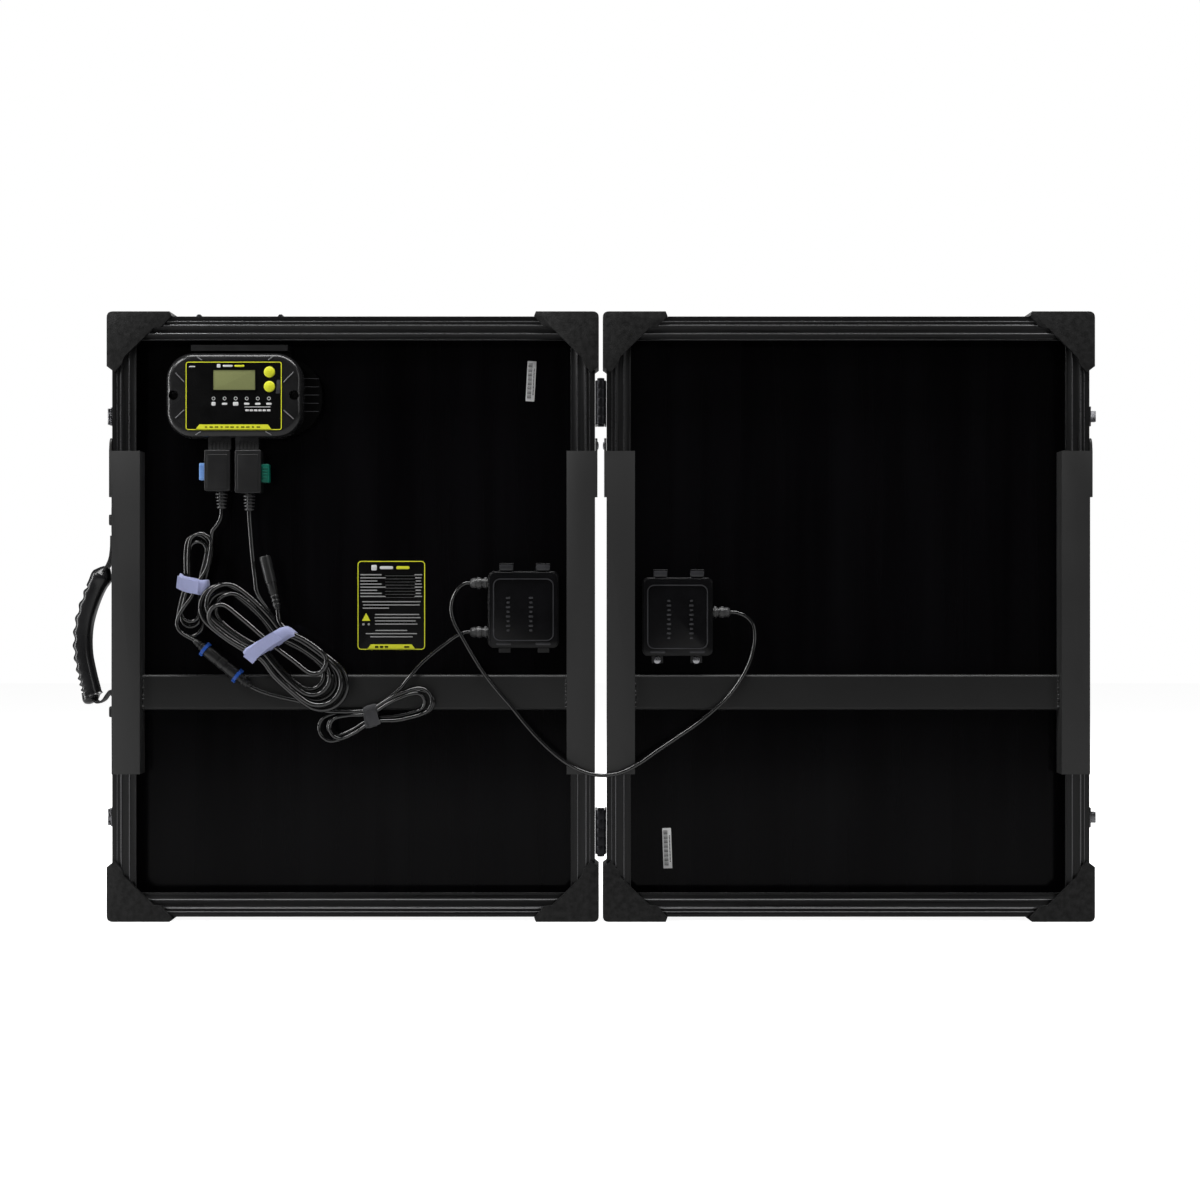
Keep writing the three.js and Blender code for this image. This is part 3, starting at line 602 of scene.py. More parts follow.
SMALL_STRANDS = [
    (0.0146, 0.0091, 0.0), (-0.0146, 0.0091, small.length), (0.0101, 0.0091, 0.006),
    (-0.0101, 0.0091, small.length - 0.007), (0.0101, 0.0047, 0.01), (-0.0146, 0.0047, small.length - 0.003),
    (0.0146, 0.0047, 0.0),
]
BUNDLE_STRANDS = [
    (0.0145, 0.0116, bundle.length), (-0.0145, 0.0116, 0.0), (0.01, 0.0116, bundle.length - 0.006),
    (-0.01, 0.0116, 0.005), (0.01, 0.0071, bundle.length - 0.012), (-0.01, 0.0071, -0.002),
    (0.0145, 0.006, 0.0),
]
LARGE_STRANDS = [
    (0.028, -0.0009, large.length), (-0.028, -0.0009, 0.0), (0.0223, -0.0009, large.length - 0.008),
    (-0.0223, -0.0009, 0.004), (0.0166, -0.0009, large.length - 0.018), (-0.0166, -0.0009, 0.01),
    (0.0195, -0.0056, large.length - 0.013), (-0.0195, -0.0056, 0.002),
    (0.0252, -0.0056, large.length - 0.004), (-0.0252, -0.0056, 0.006),
    (0.002, -0.0101, large.length - 0.022), (0.029, -0.0101, 0.0),
]

BUNDLE_TAIL = [
    (0.04, 0.0095, 0.003), (0.056, 0.001, 0.0026), (0.07, -0.008, 0.0026), (0.08, -0.012, 0.0028),
    (0.088, -0.013, 0.0031), (0.095, -0.01, 0.0034), (0.0995, -0.004, 0.0038), (0.1021, 0.002, 0.004),
    (0.1044, 0.0079, 0.004),
]

panel_points = [
    *[Vector(p) for p in PANEL_RUN_ROUTE],
    *small.folds(SMALL_STRANDS, 0.062, 0.02, forward=False),
    *[Vector(p) for p in PANEL_TAIL_ROUTE],
]
controller_points = [
    *[Vector(p) for p in CONTROLLER_DROP_ROUTE],
    *bundle.folds(BUNDLE_STRANDS, 0.004, 0.022),
    *[bundle.point(*p) for p in BUNDLE_TAIL],
]
output_points = [
    *[Vector(p) for p in OUTPUT_RUN_ROUTE],
    *large.folds(LARGE_STRANDS, 0.042, 0.084),
    large.point(0.07, 0.03, -0.0085), large.point(0.059, 0.0315, -0.0065), Vector((-0.3583, -0.005, 0.3468)),
]

SEGMENTS_ROUND = 12


def tube_mesh(name, path, diameter):
    """A closed tube along a path, its section turned as little as possible from ring to ring."""
    bm = bmesh.new()
    rings = []
    side = Vector((0, 1, 0))
    for i, here in enumerate(path):
        along = (path[min(i + 1, len(path) - 1)] - path[max(i - 1, 0)]).normalized()
        side = (side - along * side.dot(along)).normalized()
        other = along.cross(side)
        angles = [2 * math.pi * k / SEGMENTS_ROUND for k in range(SEGMENTS_ROUND)]
        rings.append([here + (side * math.cos(a) + other * math.sin(a)) * diameter / 2 for a in angles])
    add_loft(bm, rings)
    return from_bmesh(name, bm, None, "lead_jacket", "jacket", 60)


panel_lead = curve_lead("panel_lead", panel_points, LEAD_D)
controller_lead = curve_lead("controller_lead", controller_points, LEAD_D)
output_lead = curve_lead("output_lead", output_points, OUTPUT_D)
for lead, nodes in (
    (panel_lead, ("panel_lead_run", "panel_lead_hank", "panel_lead_tail")),
    (controller_lead, ("controller_lead_drop", "controller_lead_bundle")),
    (output_lead, ("output_lead_run", "output_lead_hank")),
):
    finish_piece(lead, "left_panel", "jacket")
    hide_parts(*nodes)

interconnect_path = [at(*p) for p in smooth(INTERCONNECT_ROUTE, 4)]
interconnecting_lead = tube_mesh("interconnecting_lead_jacket", interconnect_path, LEAD_D)
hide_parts("interconnecting_lead")
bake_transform(interconnecting_lead)


# ---------------------------------------------------------------- connectors, plugs and ties on the leads
INLINE_START, INLINE_END = at(-0.453, 0.004, 0.313), at(-0.3901, 0.004, 0.2616)
INLINE_PROFILE = [
    (0, 0.0024), (0.02, 0.0031), (0.07, 0.0036), (0.075, 0.0043), (0.095, 0.0043), (0.1, 0.0038),
    (0.12, 0.004), (0.125, 0.0049), (0.15, 0.0049), (0.155, 0.0045), (0.235, 0.0066), (0.3, 0.0068),
    (0.42, 0.0068), (0.425, 0.0062), (0.455, 0.0062), (0.46, 0.0069), (0.54, 0.0069), (0.545, 0.0063),
    (0.6, 0.0063), (0.605, 0.0068), (0.74, 0.0066), (0.81, 0.0052), (0.815, 0.0046), (0.86, 0.0045),
    (0.865, 0.0051), (0.89, 0.0051), (0.895, 0.0041), (0.93, 0.0038), (0.935, 0.0043), (0.955, 0.0042),
    (0.96, 0.0034), (1, 0.0024),
]
inline_body = lathe("inline_connector_body", INLINE_START, INLINE_END, INLINE_PROFILE, *CONNECTOR, "plug")
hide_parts("inline_connector")


def lock_ring(name, share):
    """A coloured lock ring with finger lugs, round the inline connector."""
    middle = INLINE_START.lerp(INLINE_END, share)
    half = (INLINE_END - INLINE_START).normalized() * 0.002
    profile = [(0, 0.0069), (0.08, 0.0079), (0.92, 0.0079), (1, 0.0069)]
    bm = bmesh.new()
    add_loft(bm, lathe_rings(middle - half, middle + half, profile, 28))
    across = (INLINE_END - INLINE_START).normalized().cross(Vector((0, 1, 0))).normalized()
    for sign in (-1, 1):
        spot = middle + across * sign * 0.0072
        lug = [(0, 0.001), (0.1, 0.0015), (0.9, 0.0015), (1, 0.001)]
        add_loft(bm, lathe_rings(spot - half * 1.2, spot + half * 1.2, lug, 12))
    return from_bmesh(name, bm, *CONNECTOR, "blue")


lock_rings = [lock_ring("inline_connector_upper_ring", 0.195), lock_ring("inline_connector_lower_ring", 0.77)]

BARREL_START, BARREL_END = at(-0.3585, -0.005, 0.3475), at(-0.373, -0.005, 0.4065)
BARREL_PROFILE = [
    (0, 0.0031), (0.02, 0.0036), (0.06, 0.0036), (0.07, 0.0043), (0.1, 0.0043), (0.11, 0.0038),
    (0.14, 0.0038), (0.15, 0.0045), (0.18, 0.0045), (0.19, 0.004), (0.22, 0.004), (0.23, 0.0048),
    (0.26, 0.0048), (0.27, 0.0043), (0.3, 0.0045), (0.33, 0.0053), (0.5, 0.0055), (0.51, 0.0063),
    (0.97, 0.0064), (1, 0.0057),
]
barrel = lathe("output_connector_body", BARREL_START, BARREL_END, BARREL_PROFILE, *CONNECTOR, "plug")
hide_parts("output_connector")


def band(name, hank, u, half_width, depth, wide, material, slant, bow, tail):
    """A hook-and-loop tie wound round a hank, bowed along it, with its free end on top."""
    thick = 0.0013
    back, front = depth
    centre_y, half_y = (back + front) / 2, abs(back - front) / 2
    bend = min(half_y, half_width) * 0.75

    def spot(along, v, y):
        return at(*hank.bare_point(u + slant * v + bow * (1 - (v / half_width) ** 2) + along, v, y))

    outline = rounded(2 * half_width, 2 * half_y, bend, 7)
    outer = rounded(2 * (half_width + thick), 2 * (half_y + thick), bend + thick, 7)
    swollen = rounded(2 * half_width + 3.4 * thick, 2 * half_y + 3.4 * thick, half_y * 0.75 + thick * 1.7, 7)
    turns = ((outline, -1), (outer, -0.9), (swollen, -0.45), (swollen, 0.45), (outer, 0.9), (outline, 1))
    bm = bmesh.new()
    add_skin(bm, [[spot(side * wide / 2, v, centre_y + w) for v, w in ring] for ring, side in turns])
    corners = ((-1, 0), (1, 0), (1, thick * 0.8), (-1, thick * 0.8))
    rows = []
    for k in range(7):
        y = centre_y - half_y - thick - 0.0008 - 0.0018 * (k / 6) ** 2
        v = half_width * (0.5 - 1.6 * k / 6)
        rows.append([spot(e * wide * 0.4 + tail * k / 6, v, y - t) for e, t in corners])
    add_loft(bm, rows)
    return from_bmesh(name, bm, "left_panel", "webbing", material, 50)


bundle_tie = band(
    "bundle_tie", bundle, bundle.tie, 0.015, (0.0142, 0.0), 0.017, "tie_pale", 0.12, 0.003, 0.002)
large_tie = band(
    "output_hank_tie", large, large.tie, 0.0258, (0.0022, -0.0132), 0.0165, "tie_pale", 0.36, -0.004, 0.003)
small_tie = band(
    "panel_hank_tie", small, small.tie, 0.0102, (0.0116, 0.0022), 0.016, "tie_dark", 0.15, 0, 0.004)


# The plugs: a moulded body with a step, grip ridges, a coloured clip and a ribbed strain relief.
PLUG_Y = 0.008


def middle_and_size(x, z):
    """Of the rectangle between two x and two z."""
    return ((x[0] + x[1]) / 2, (z[0] + z[1]) / 2), (x[1] - x[0], z[1] - z[0])


def plug(name, node, x, z, tab_x, tab_z, tab_material, relief_x):
    (cx, cz), (w, h) = middle_and_size(x, z)
    body = slab(name + "_body", (cx, cz), (w, h), 0.0016, (0.017, -0.001), *PLUG, "plug", 0.0011)
    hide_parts(node)
    step = slab(
        name + "_face", (cx, cz - 0.001), (w - 0.006, h - 0.008), 0.001, (-0.0009, -0.0016), *PLUG, "plug",
        0.0005)
    tab, tab_size = middle_and_size(tab_x, tab_z)
    clip = slab(name + "_clip", tab, tab_size, 0.0008, (0.013, 0.003), *PLUG, tab_material, 0.0006)
    lines = [((tab[0], tab_z[0] + 0.003 + 0.0033 * k), (tab_size[0] * 0.8, 0.0014)) for k in range(5)]
    ridges = slabs(name + "_clip_ridges", lines, 0.0004, (0.0031, 0.0024), *PLUG, tab_material, 0.0002)
    relief = [(0, 0.0066), (0.03, 0.0069)]
    for k in range(5):
        a = 0.05 + 0.185 * k
        wide = 0.0068 - 0.0004 * k
        relief += [(a, 0.003), (a + 0.085, 0.003), (a + 0.1, wide), (a + 0.17, wide)]
    relief += [(0.985, 0.0034), (1, 0.0031)]
    top, bottom = at(relief_x, PLUG_Y, z[0]), at(relief_x, PLUG_Y, z[0] - 0.0195)
    # The relief is in the lighter gland plastic as a painted highlight on its ribs.
    boot = lathe(name + "_relief", top, bottom, relief, *PLUG, "gland")
    return [body, step, clip, ridges, boot]


input_plug = plug(
    "input_plug", "controller_input_plug", (-0.4408, -0.4123), (0.4793, 0.5249), (-0.4472, -0.4407),
    (0.4915, 0.5104), "pale_blue", -0.4232)
output_plug = plug(
    "output_plug", "controller_output_plug", (-0.4068, -0.3779), (0.477, 0.5249), (-0.378, -0.3695),
    (0.4888, 0.5093), "teal", -0.3923)


# ---------------------------------------------------------------- frames, corners, hinges, latches and legs
for side in ("left", "right"):
    for place in ("top", "bottom"):
        softened(f"{side}_frame_{place}_rail", "rail_along_x", 0.0003)
    for place in ("inner", "outer"):
        softened(f"{side}_frame_{place}_rail", "rail_along_z", 0.0003)
    for height in ("upper", "lower"):
        for place in ("inner", "outer"):
            softened(f"{side}_{height}_{place}_corner", "moulded", 0.0012, 3)
    keep(f"{side}_panel_laminate", "backsheet")
    softened(f"{side}_leg_frame", "powder", 0.0016, 3)

# Distance of each ridge from the rail's outer face, and its width.
RIDGES = ((0.0057, 0.0007), (0.01, 0.0013), (0.0193, 0.001))


def add_ridge_highlights(side, place):
    """Painted highlights along the ridges of a rail's back: bright strips on the top and bottom rails, where
    the top light catches them, and dimmer ones on the upright rails.
    """
    node = f"{side}_frame_{place}_rail"
    source = frame["nodes"][node]
    points = [source.matrix_world @ v.co - at(0, 0, 0) for v in source.data.vertices]
    low = [min(p[k] for p in points) for k in range(3)]
    high = [max(p[k] for p in points) for k in range(3)]
    places = []
    for u, wide in RIDGES:
        inset = u + 0.0015
        if place in ("top", "bottom"):
            z = high[2] - u if place == "top" else low[2] + u
            places.append((((low[0] + high[0]) / 2, z), (high[0] - low[0] - 2 * inset, wide)))
        else:
            from_high = (side == "left") == (place == "inner")
            x = high[0] - u if from_high else low[0] + u
            places.append(((x, (low[2] + high[2]) / 2), (wide, high[2] - low[2] - 2 * inset)))
    # Painted highlight strips: bright on the top and bottom rails, dim on the uprights.
    slabs(
        node + "_ridges", places, 0.0003, (low[1] + 0.0003, low[1] - 0.00012), side + "_panel", "frame",
        "rail_ridge_highlight" if place in ("top", "bottom") else "upright_ridge_highlight", 0.0001)


for side in ("left", "right"):
    for place in ("top", "bottom", "inner", "outer"):
        add_ridge_highlights(side, place)
for height in ("upper", "lower"):
    for part in ("left_leaf", "right_leaf", "pin"):
        softened(f"{height}_hinge_{part}", "hinge", 0.0004)
    for part in ("base", "lever", "keeper"):
        softened(f"{height}_latch_{part}", "latch", 0.0004)
for place in ("upper", "lower"):
    softened(f"handle_{place}_mount", "moulded", 0.0008)

# Bolts through the top rail that carry the controller's bracket.
for n, x in enumerate((-0.448, -0.357)):
    start, end = at(x, 0.008, 0.6735), at(x, 0.008, 0.6765)
    head = [(0, 0.0032), (0.5, 0.0032), (1, 0.0018)]
    lathe(f"bracket_bolt_{n + 1}", start, end, head, "left_panel", "frame", "hinge")

# Pivot rivets of the leg frames, outside each ear.
RIVET = [(0, 0.0045), (0.35, 0.0045), (0.7, 0.0036), (1, 0.0014)]
for side, sign in (("left", -1), ("right", 1)):
    for place, ear_x, way in (("inner", 0.0037, -1), ("outer", 0.5473, 1)):
        start = at(sign * ear_x, 0.01165, 0.5305)
        end = start + Vector((sign * way * 0.0014, 0, 0))
        lathe(f"{side}_leg_{place}_rivet", start, end, RIVET, f"{side}_leg", "hinge_metal", "steel")

# Weld beads where the crossbar meets each arm.
for side, sign in (("left", -1), ("right", 1)):
    for place, x in (("inner", 0.0385), ("outer", 0.5125)):
        bm = bmesh.new()
        for n in range(9):
            spot = at(sign * x, 0.015, 0.2378 + 0.0042 * n)
            half = Vector((0, 0, 0.0028))
            wobble = 0.0004 * math.sin(2.3 * n + 5 * x)
            profile = [(0, 0.0008), (0.3, 0.002 + wobble), (0.7, 0.0021 + wobble), (1, 0.0008)]
            add_loft(bm, lathe_rings(spot - half, spot + half, profile, 10))
        from_bmesh(f"{side}_leg_{place}_weld", bm, f"{side}_leg", "leg_paint", "powder")


# ---------------------------------------------------------------- glass side: cells and busbars
CELL_COLUMNS, CELL_ROWS = 4, 9
BAR_SECTION = ((-0.0008, 0), (0.0008, 0), (0.0008, 0.0001), (-0.0008, 0.0001))
for side in ("left", "right"):
    low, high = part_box(f"{side}_panel_laminate")
    z0, z1 = low.z + 0.018, high.z - 0.018
    x0, x1 = low.x - FOLD.x + 0.016, high.x - FOLD.x - 0.016
    pitch_x, pitch_z = (x1 - x0) / CELL_COLUMNS, (z1 - z0) / CELL_ROWS
    glass = high.y - FOLD.y
    cells, bars = bmesh.new(), bmesh.new()
    for column in range(CELL_COLUMNS):
        for row in range(CELL_ROWS):
            centre = (x0 + pitch_x * (column + 0.5), z0 + pitch_z * (row + 0.5))
            half_w, half_h, chamfer = pitch_x / 2 - 0.0013, pitch_z / 2 - 0.0013, 0.009
            outline = [
                (-half_w, -half_h + chamfer), (-half_w + chamfer, -half_h), (half_w - chamfer, -half_h),
                (half_w, -half_h + chamfer), (half_w, half_h - chamfer), (half_w - chamfer, half_h),
                (-half_w + chamfer, half_h), (-half_w, half_h - chamfer),
            ]
            add_loft(cells, [
                [at(centre[0] + u, y, centre[1] + v) for u, v in outline] for y in (glass, glass + 0.00015)
            ])
        for share in (0.27, 0.73):
            x = x0 + pitch_x * (column + share)
            add_loft(bars, [
                [at(x + u, glass + 0.00015 + w, z) for u, w in BAR_SECTION]
                for z in (z0 - 0.004, z1 + 0.004)
            ])
    from_bmesh(f"{side}_cells", cells, f"{side}_panel", "laminate", "cell")
    from_bmesh(f"{side}_busbars", bars, f"{side}_panel", "laminate", "busbar")


# ---------------------------------------------------------------- junction boxes
def junction_box(side, centre, size, columns, screws):
    """The lid's raised rim, its embossed marks and its screws; the lid turns on the clips along its top."""
    cx, cz = centre
    w, h = size
    # The rim, marks, clips and slots are coloured lighter than the lid as a painted highlight.
    cover = (f"{side}_box_lid", "junction_plastic", "box_edge")
    softened(f"{side}_junction_box_base", "box", 0.0009, 3)
    softened(f"{side}_junction_box_lid", "box", 0.0012, 3)
    front = 0.01025
    back = front + 0.0002
    rim = (w - 0.012, h - 0.016)
    ring_slab(f"{side}_lid_rim", centre, rim, 0.008, 0.0014, (back, front - 0.0011), *cover)
    marks = []
    for x, count, first in columns:
        marks += [((x, first + n * 0.0052), (0.0034 + 0.0016 * (n % 2), 0.0022)) for n in range(count)]
    slabs(f"{side}_lid_marks", marks, 0.0006, (back, front - 0.0006), *cover, 0.0002)
    ears = [((cx + dx, cz + h / 2 + 0.0042), (0.015, 0.0066)) for dx in (-0.019, 0.022)]
    slabs(f"{side}_lid_clips", ears, 0.0018, (0.0112, 0.01), *cover, 0.0006, 4)
    if screws:
        panel = (f"{side}_panel", "hinge_metal", "steel")
        discs(f"{side}_box_screws", screws, 0.0042, (0.03, 0.028), *panel, dome=0.2)
    slots = [((cx + dx, cz - h / 2 + 0.0048), (0.017, 0.003)) for dx in (-0.022, 0.022)]
    slabs(f"{side}_lid_slots", slots, 0.0014, (back, front - 0.0004), *cover, 0.0002)


junction_box(
    "left", (-0.0865, 0.3472), (0.08, 0.086), [(-0.1036, 8, 0.324), (-0.0781, 8, 0.324)], [])
junction_box(
    "right", (0.0857, 0.3392), (0.08, 0.088), [(0.0761, 9, 0.3155), (0.1012, 9, 0.3155)],
    [(0.0636, 0.2902), (0.1076, 0.2902)])


def gland(node, tip_x, box_x, z):
    """A cable gland along X: hexagonal nut, finger ridges on the cap, and a round mouth."""
    y = 0.02405
    start, end = at(box_x, y, z), at(tip_x, y, z)
    cap = [
        (0, 0.0052), (0.3, 0.0054), (0.32, 0.0048), (0.36, 0.0048), (0.38, 0.0062), (0.62, 0.0062),
        (0.64, 0.0055), (0.7, 0.0055), (0.72, 0.006), (0.86, 0.0056), (0.96, 0.0045), (1, 0.0032),
    ]
    riding = (node.split("_")[0] + "_panel", "junction_plastic", "gland")
    body = lathe(node + "_cap", start, end, cap, *riding, 28)
    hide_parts(node)
    bm = bmesh.new()
    for share, radius in ((0.06, 0.0069), (0.46, 0.0068)):
        a, b = start.lerp(end, share), start.lerp(end, share + 0.14)
        flats = [(0, radius * 0.93), (0.12, radius), (0.88, radius), (1, radius * 0.93)]
        add_loft(bm, lathe_rings(a, b, flats, 6))
    from_bmesh(node + "_nuts", bm, *riding, 25)


gland("left_junction_box_upper_gland", -0.1468, -0.1268, 0.377)
gland("left_junction_box_lower_gland", -0.1468, -0.1268, 0.3219)
gland("right_junction_box_gland", 0.1454, 0.126, 0.3442)


# ---------------------------------------------------------------- charge controller
keep("controller_bracket", "bracket")
keep("controller_heat_sink", "sink")
# Thin light lines on the fin edges beside the case: a painted highlight.
slabs(
    "controller_fin_highlight_lines", [((-0.3255, 0.5694 + 0.0092 * n), (0.019, 0.0008)) for n in range(5)], 0.0003,
    (0.0185, 0.0176), "left_panel", "heat_sink", "box_edge", 0.0002)
CONTROLLER = (-0.4076, 0.5854)
FACE_Y = -0.0035
housing = slab(
    "controller_case", CONTROLLER, (0.1518, 0.0945), 0.03, (0.0175, FACE_Y), *CASE, "housing", 0.0075, 14)
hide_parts("controller_housing")


def well(x, z, radius, depth):
    start, end = at(x, FACE_Y - 0.002, z), at(x, FACE_Y + depth, z)
    return lathe("cutter", start, end, [(0, radius), (1, radius)], None, None, "well", 32)


BUTTONS = {"upper": 0.611, "lower": 0.5949}
BUTTON_X = -0.3678
SCREWS = [(x, CONTROLLER[1]) for x in (-0.4746, -0.3406)]
carve(housing, [
    *[well(BUTTON_X, z, 0.0065, 0.005) for z in BUTTONS.values()],
    *[well(x, z, 0.0054, 0.012) for x, z in SCREWS],
])
discs("controller_screws", SCREWS, 0.0036, (0.0064, 0.0044), *CASE, "well", dome=0.15)
slabs(
    "controller_sockets", [((-0.424, 0.533), (0.0256, 0.0158)), ((-0.3934, 0.533), (0.026, 0.0158))],
    0.001, (0.0155, 0.0005), *CASE, "housing", 0.0006)
slabs(
    "controller_socket_ribs",
    [((x + 0.0042 * k, 0.5305), (0.0012, 0.01)) for x in (-0.4324, -0.4019) for k in range(5)], 0.0004,
    (0.0006, -0.0003), *CASE, "housing", 0.0003)


def ridge(bm, a, b, width, depth):
    """A slim rounded rib on a face, from one (x, z) to another."""
    back, front = depth
    start, end = Vector((a[0], 0, a[1])), Vector((b[0], 0, b[1]))
    side = (end - start).normalized().cross(Vector((0, 1, 0))) * width / 2
    section = ((-1, back), (-0.7, front + 0.0002), (0, front), (0.7, front + 0.0002), (1, back))
    add_loft(bm, [[at(p.x + side.x * k, y, p.z + side.z * k) for k, y in section] for p in (start, end)])


# Eight ribs run from the label's corners out over the rounded edge, coloured light grey as a painted
# highlight.
RIBS = [
    ((-0.4484, 0.628), (-0.4426, 0.6242)), ((-0.472, 0.61), (-0.4625, 0.6)),
    ((-0.472, 0.56), (-0.4625, 0.569)), ((-0.4497, 0.5415), (-0.444, 0.5448)),
    ((-0.364, 0.628), (-0.3692, 0.6242)), ((-0.341, 0.611), (-0.352, 0.5998)),
    ((-0.341, 0.559), (-0.352, 0.5688)), ((-0.3657, 0.5415), (-0.372, 0.5448)),
]
ribs = bmesh.new()
for a, b in RIBS:
    ridge(ribs, a, b, 0.0013, (FACE_Y + 0.0005, FACE_Y - 0.0007))
from_bmesh("controller_ribs", ribs, *CASE, "rib")

LABEL = (-0.40735, 0.58455)
label = slab(
    "controller_label", LABEL, (0.1079, 0.0771), 0.003, (FACE_Y + 0.0001, FACE_Y - 0.0004), *CASE, "ink",
    0.0001)
carve(label, [well(BUTTON_X, z, 0.0065, 0.002) for z in BUTTONS.values()])
PRINT = (FACE_Y - 0.00035, FACE_Y - 0.0006)
LIME_PRINT = ("left_panel", "button_yellow", "lime")
ring_slab("controller_label_border", LABEL, (0.1065, 0.0757), 0.0028, 0.0009, PRINT, *LIME_PRINT)


def trapezoid(name, x, z, depth):
    """A low printed band whose upper corners slope in."""
    slope = 0.0045
    outline = [(x[0], z[0]), (x[1], z[0]), (x[1] - slope, z[1]), (x[0] + slope, z[1])]
    loft(name, [[at(u, y, v) for u, v in outline] for y in depth], *LIME_PRINT)


trapezoid("controller_label_band", (-0.45, -0.365), (0.547, 0.5528), PRINT)
marks = [((-0.438 + 0.0058 * k, 0.5499), (0.004 if k % 3 else 0.0026, 0.0013)) for k in range(11)]
slabs("controller_band_marks", marks, 0.0003, (PRINT[1], PRINT[1] - 0.0001), *CASE, "ink", 0.00003)
slabs(
    "controller_header_marks", [((-0.424, 0.6178), (0.004, 0.004)), ((-0.414, 0.6178), (0.011, 0.0022))],
    0.0011, PRINT, *CASE, "white", 0.00005, 4)
slabs(
    "controller_header_bar", [((-0.401, 0.6178), (0.011, 0.0022))], 0.0011, PRINT, *CASE, "lime", 0.00005, 4)
slabs(
    "controller_model_mark", [((-0.4535, 0.617), (0.0068, 0.0013))], 0.0004, PRINT, *CASE, "white", 0.00005)

DISPLAY = (-0.40675, 0.60215)
ring_slab(
    "display_bezel", DISPLAY, (0.0492, 0.0248), 0.0012, 0.0014, (FACE_Y - 0.0003, FACE_Y - 0.0011), *CASE,
    "ink")
slab(
    "display", DISPLAY, (0.0466, 0.0222), 0.0006, (FACE_Y - 0.0003, FACE_Y - 0.0007), *CASE, "display",
    0.0001)

LED_Z = 0.5816
LED_X = [-0.4297 + 0.01228 * k for k in range(6)]
leds = bmesh.new()
for x in LED_X:
    rings = []
    for k in range(20):
        a = 2 * math.pi * k / 20
        rings.append([
            at(x + (0.0017 + du) * math.cos(a), FACE_Y - 0.0004 - dy, LED_Z + (0.0017 + du) * math.sin(a))
            for du, dy in ((-0.00025, 0), (0.00025, 0), (0.00025, 0.0003), (-0.00025, 0.0003))
        ])
    add_skin(leds, rings)
from_bmesh("led_rings", leds, *CASE, "white")
icons = [
    ((x, 0.5757), (0.0046 if n == 0 else 0.006, 0.0042 if n in (0, 2) else 0.0024))
    for n, x in enumerate(LED_X)
]
slabs("led_icons", icons, 0.0011, PRINT, *CASE, "white", 0.00005, 4)
caption = [((-0.3925 + 0.0048 * k, 0.5684), (0.0038, 0.002)) for k in range(6)]
scale = ((-0.381, 0.5722), (0.029, 0.0006))
slabs("led_scale_marks", [scale, *caption], 0.0003, PRINT, *CASE, "white", 0.00005)
slabs(
    "controller_sticker", [((-0.3578, 0.5946), (0.0042, 0.015))], 0.0004, (PRINT[0], PRINT[0] - 0.0003),
    *CASE, "tie_dark", 0.00005, turn=math.radians(4))

for place, z in BUTTONS.items():
    start, end = at(BUTTON_X, -0.0004, z), at(BUTTON_X, -0.005, z)
    riding = (f"{place}_button", "button_yellow")
    profile = [(0, 0.0062), (0.72, 0.0062), (0.9, 0.0058), (1, 0.0049)]
    cap = lathe(f"{place}_button_cap", start, end, profile, *riding, "yellow", 32)
    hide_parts(f"controller_{place}_button")
    lines = [((BUTTON_X, z + 0.001), (0.0052, 0.0009)), ((BUTTON_X, z - 0.0012), (0.0038, 0.0009))]
    slabs(f"{place}_button_marks", lines, 0.0003, (-0.00495, -0.00515), *riding, "lime", 0.00003)


# ---------------------------------------------------------------- printed labels on the backsheets
BACKSHEET_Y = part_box("left_panel_laminate")[0].y - FOLD.y
RATING = (-0.2365, 0.352)
slab(
    "rating_label", RATING, (0.0771, 0.1011), 0.0045, (BACKSHEET_Y, BACKSHEET_Y - 0.0002), *LABEL_FACE, "ink",
    0.00005)
RATING_PRINT = (BACKSHEET_Y - 0.00015, BACKSHEET_Y - 0.0003)
ring_slab("rating_border", RATING, (0.0762, 0.1002), 0.0042, 0.001, RATING_PRINT, *LABEL_FACE, "lime")
trapezoid("rating_band", (-0.264, -0.209), (0.3022, 0.308), RATING_PRINT)
band_marks = [((-0.253 + 0.0055 * k, 0.305), (0.004, 0.0022)) for k in range(3)]
slabs(
    "rating_band_marks", [*band_marks, ((-0.219, 0.305), (0.006, 0.0018))],
    0.0004, (RATING_PRINT[1], RATING_PRINT[1] - 0.0001), *LABEL_FACE, "ink", 0.00003)
slabs(
    "rating_header_marks", [((-0.256, 0.3945), (0.0062, 0.0062)), ((-0.242, 0.3945), (0.015, 0.0034))],
    0.0014, RATING_PRINT, *LABEL_FACE, "white", 0.00005, 4)
slabs(
    "rating_header_bar", [((-0.2235, 0.3945), (0.015, 0.0034))], 0.0014, RATING_PRINT, *LABEL_FACE,
    "lime", 0.00005, 4)
rows = []
for n in range(8):
    z = 0.3865 - 0.0035 * n
    length = 0.024 + 0.0055 * math.sin(2.1 * n)
    value = 0.0072 + 0.0015 * math.cos(1.7 * n)
    rows += [
        ((-0.2715 + length / 2, z), (length, 0.0013)), ((-0.206, z), (value, 0.0013)),
        ((-0.2265, z - 0.0012), (0.034, 0.0003)),
    ]
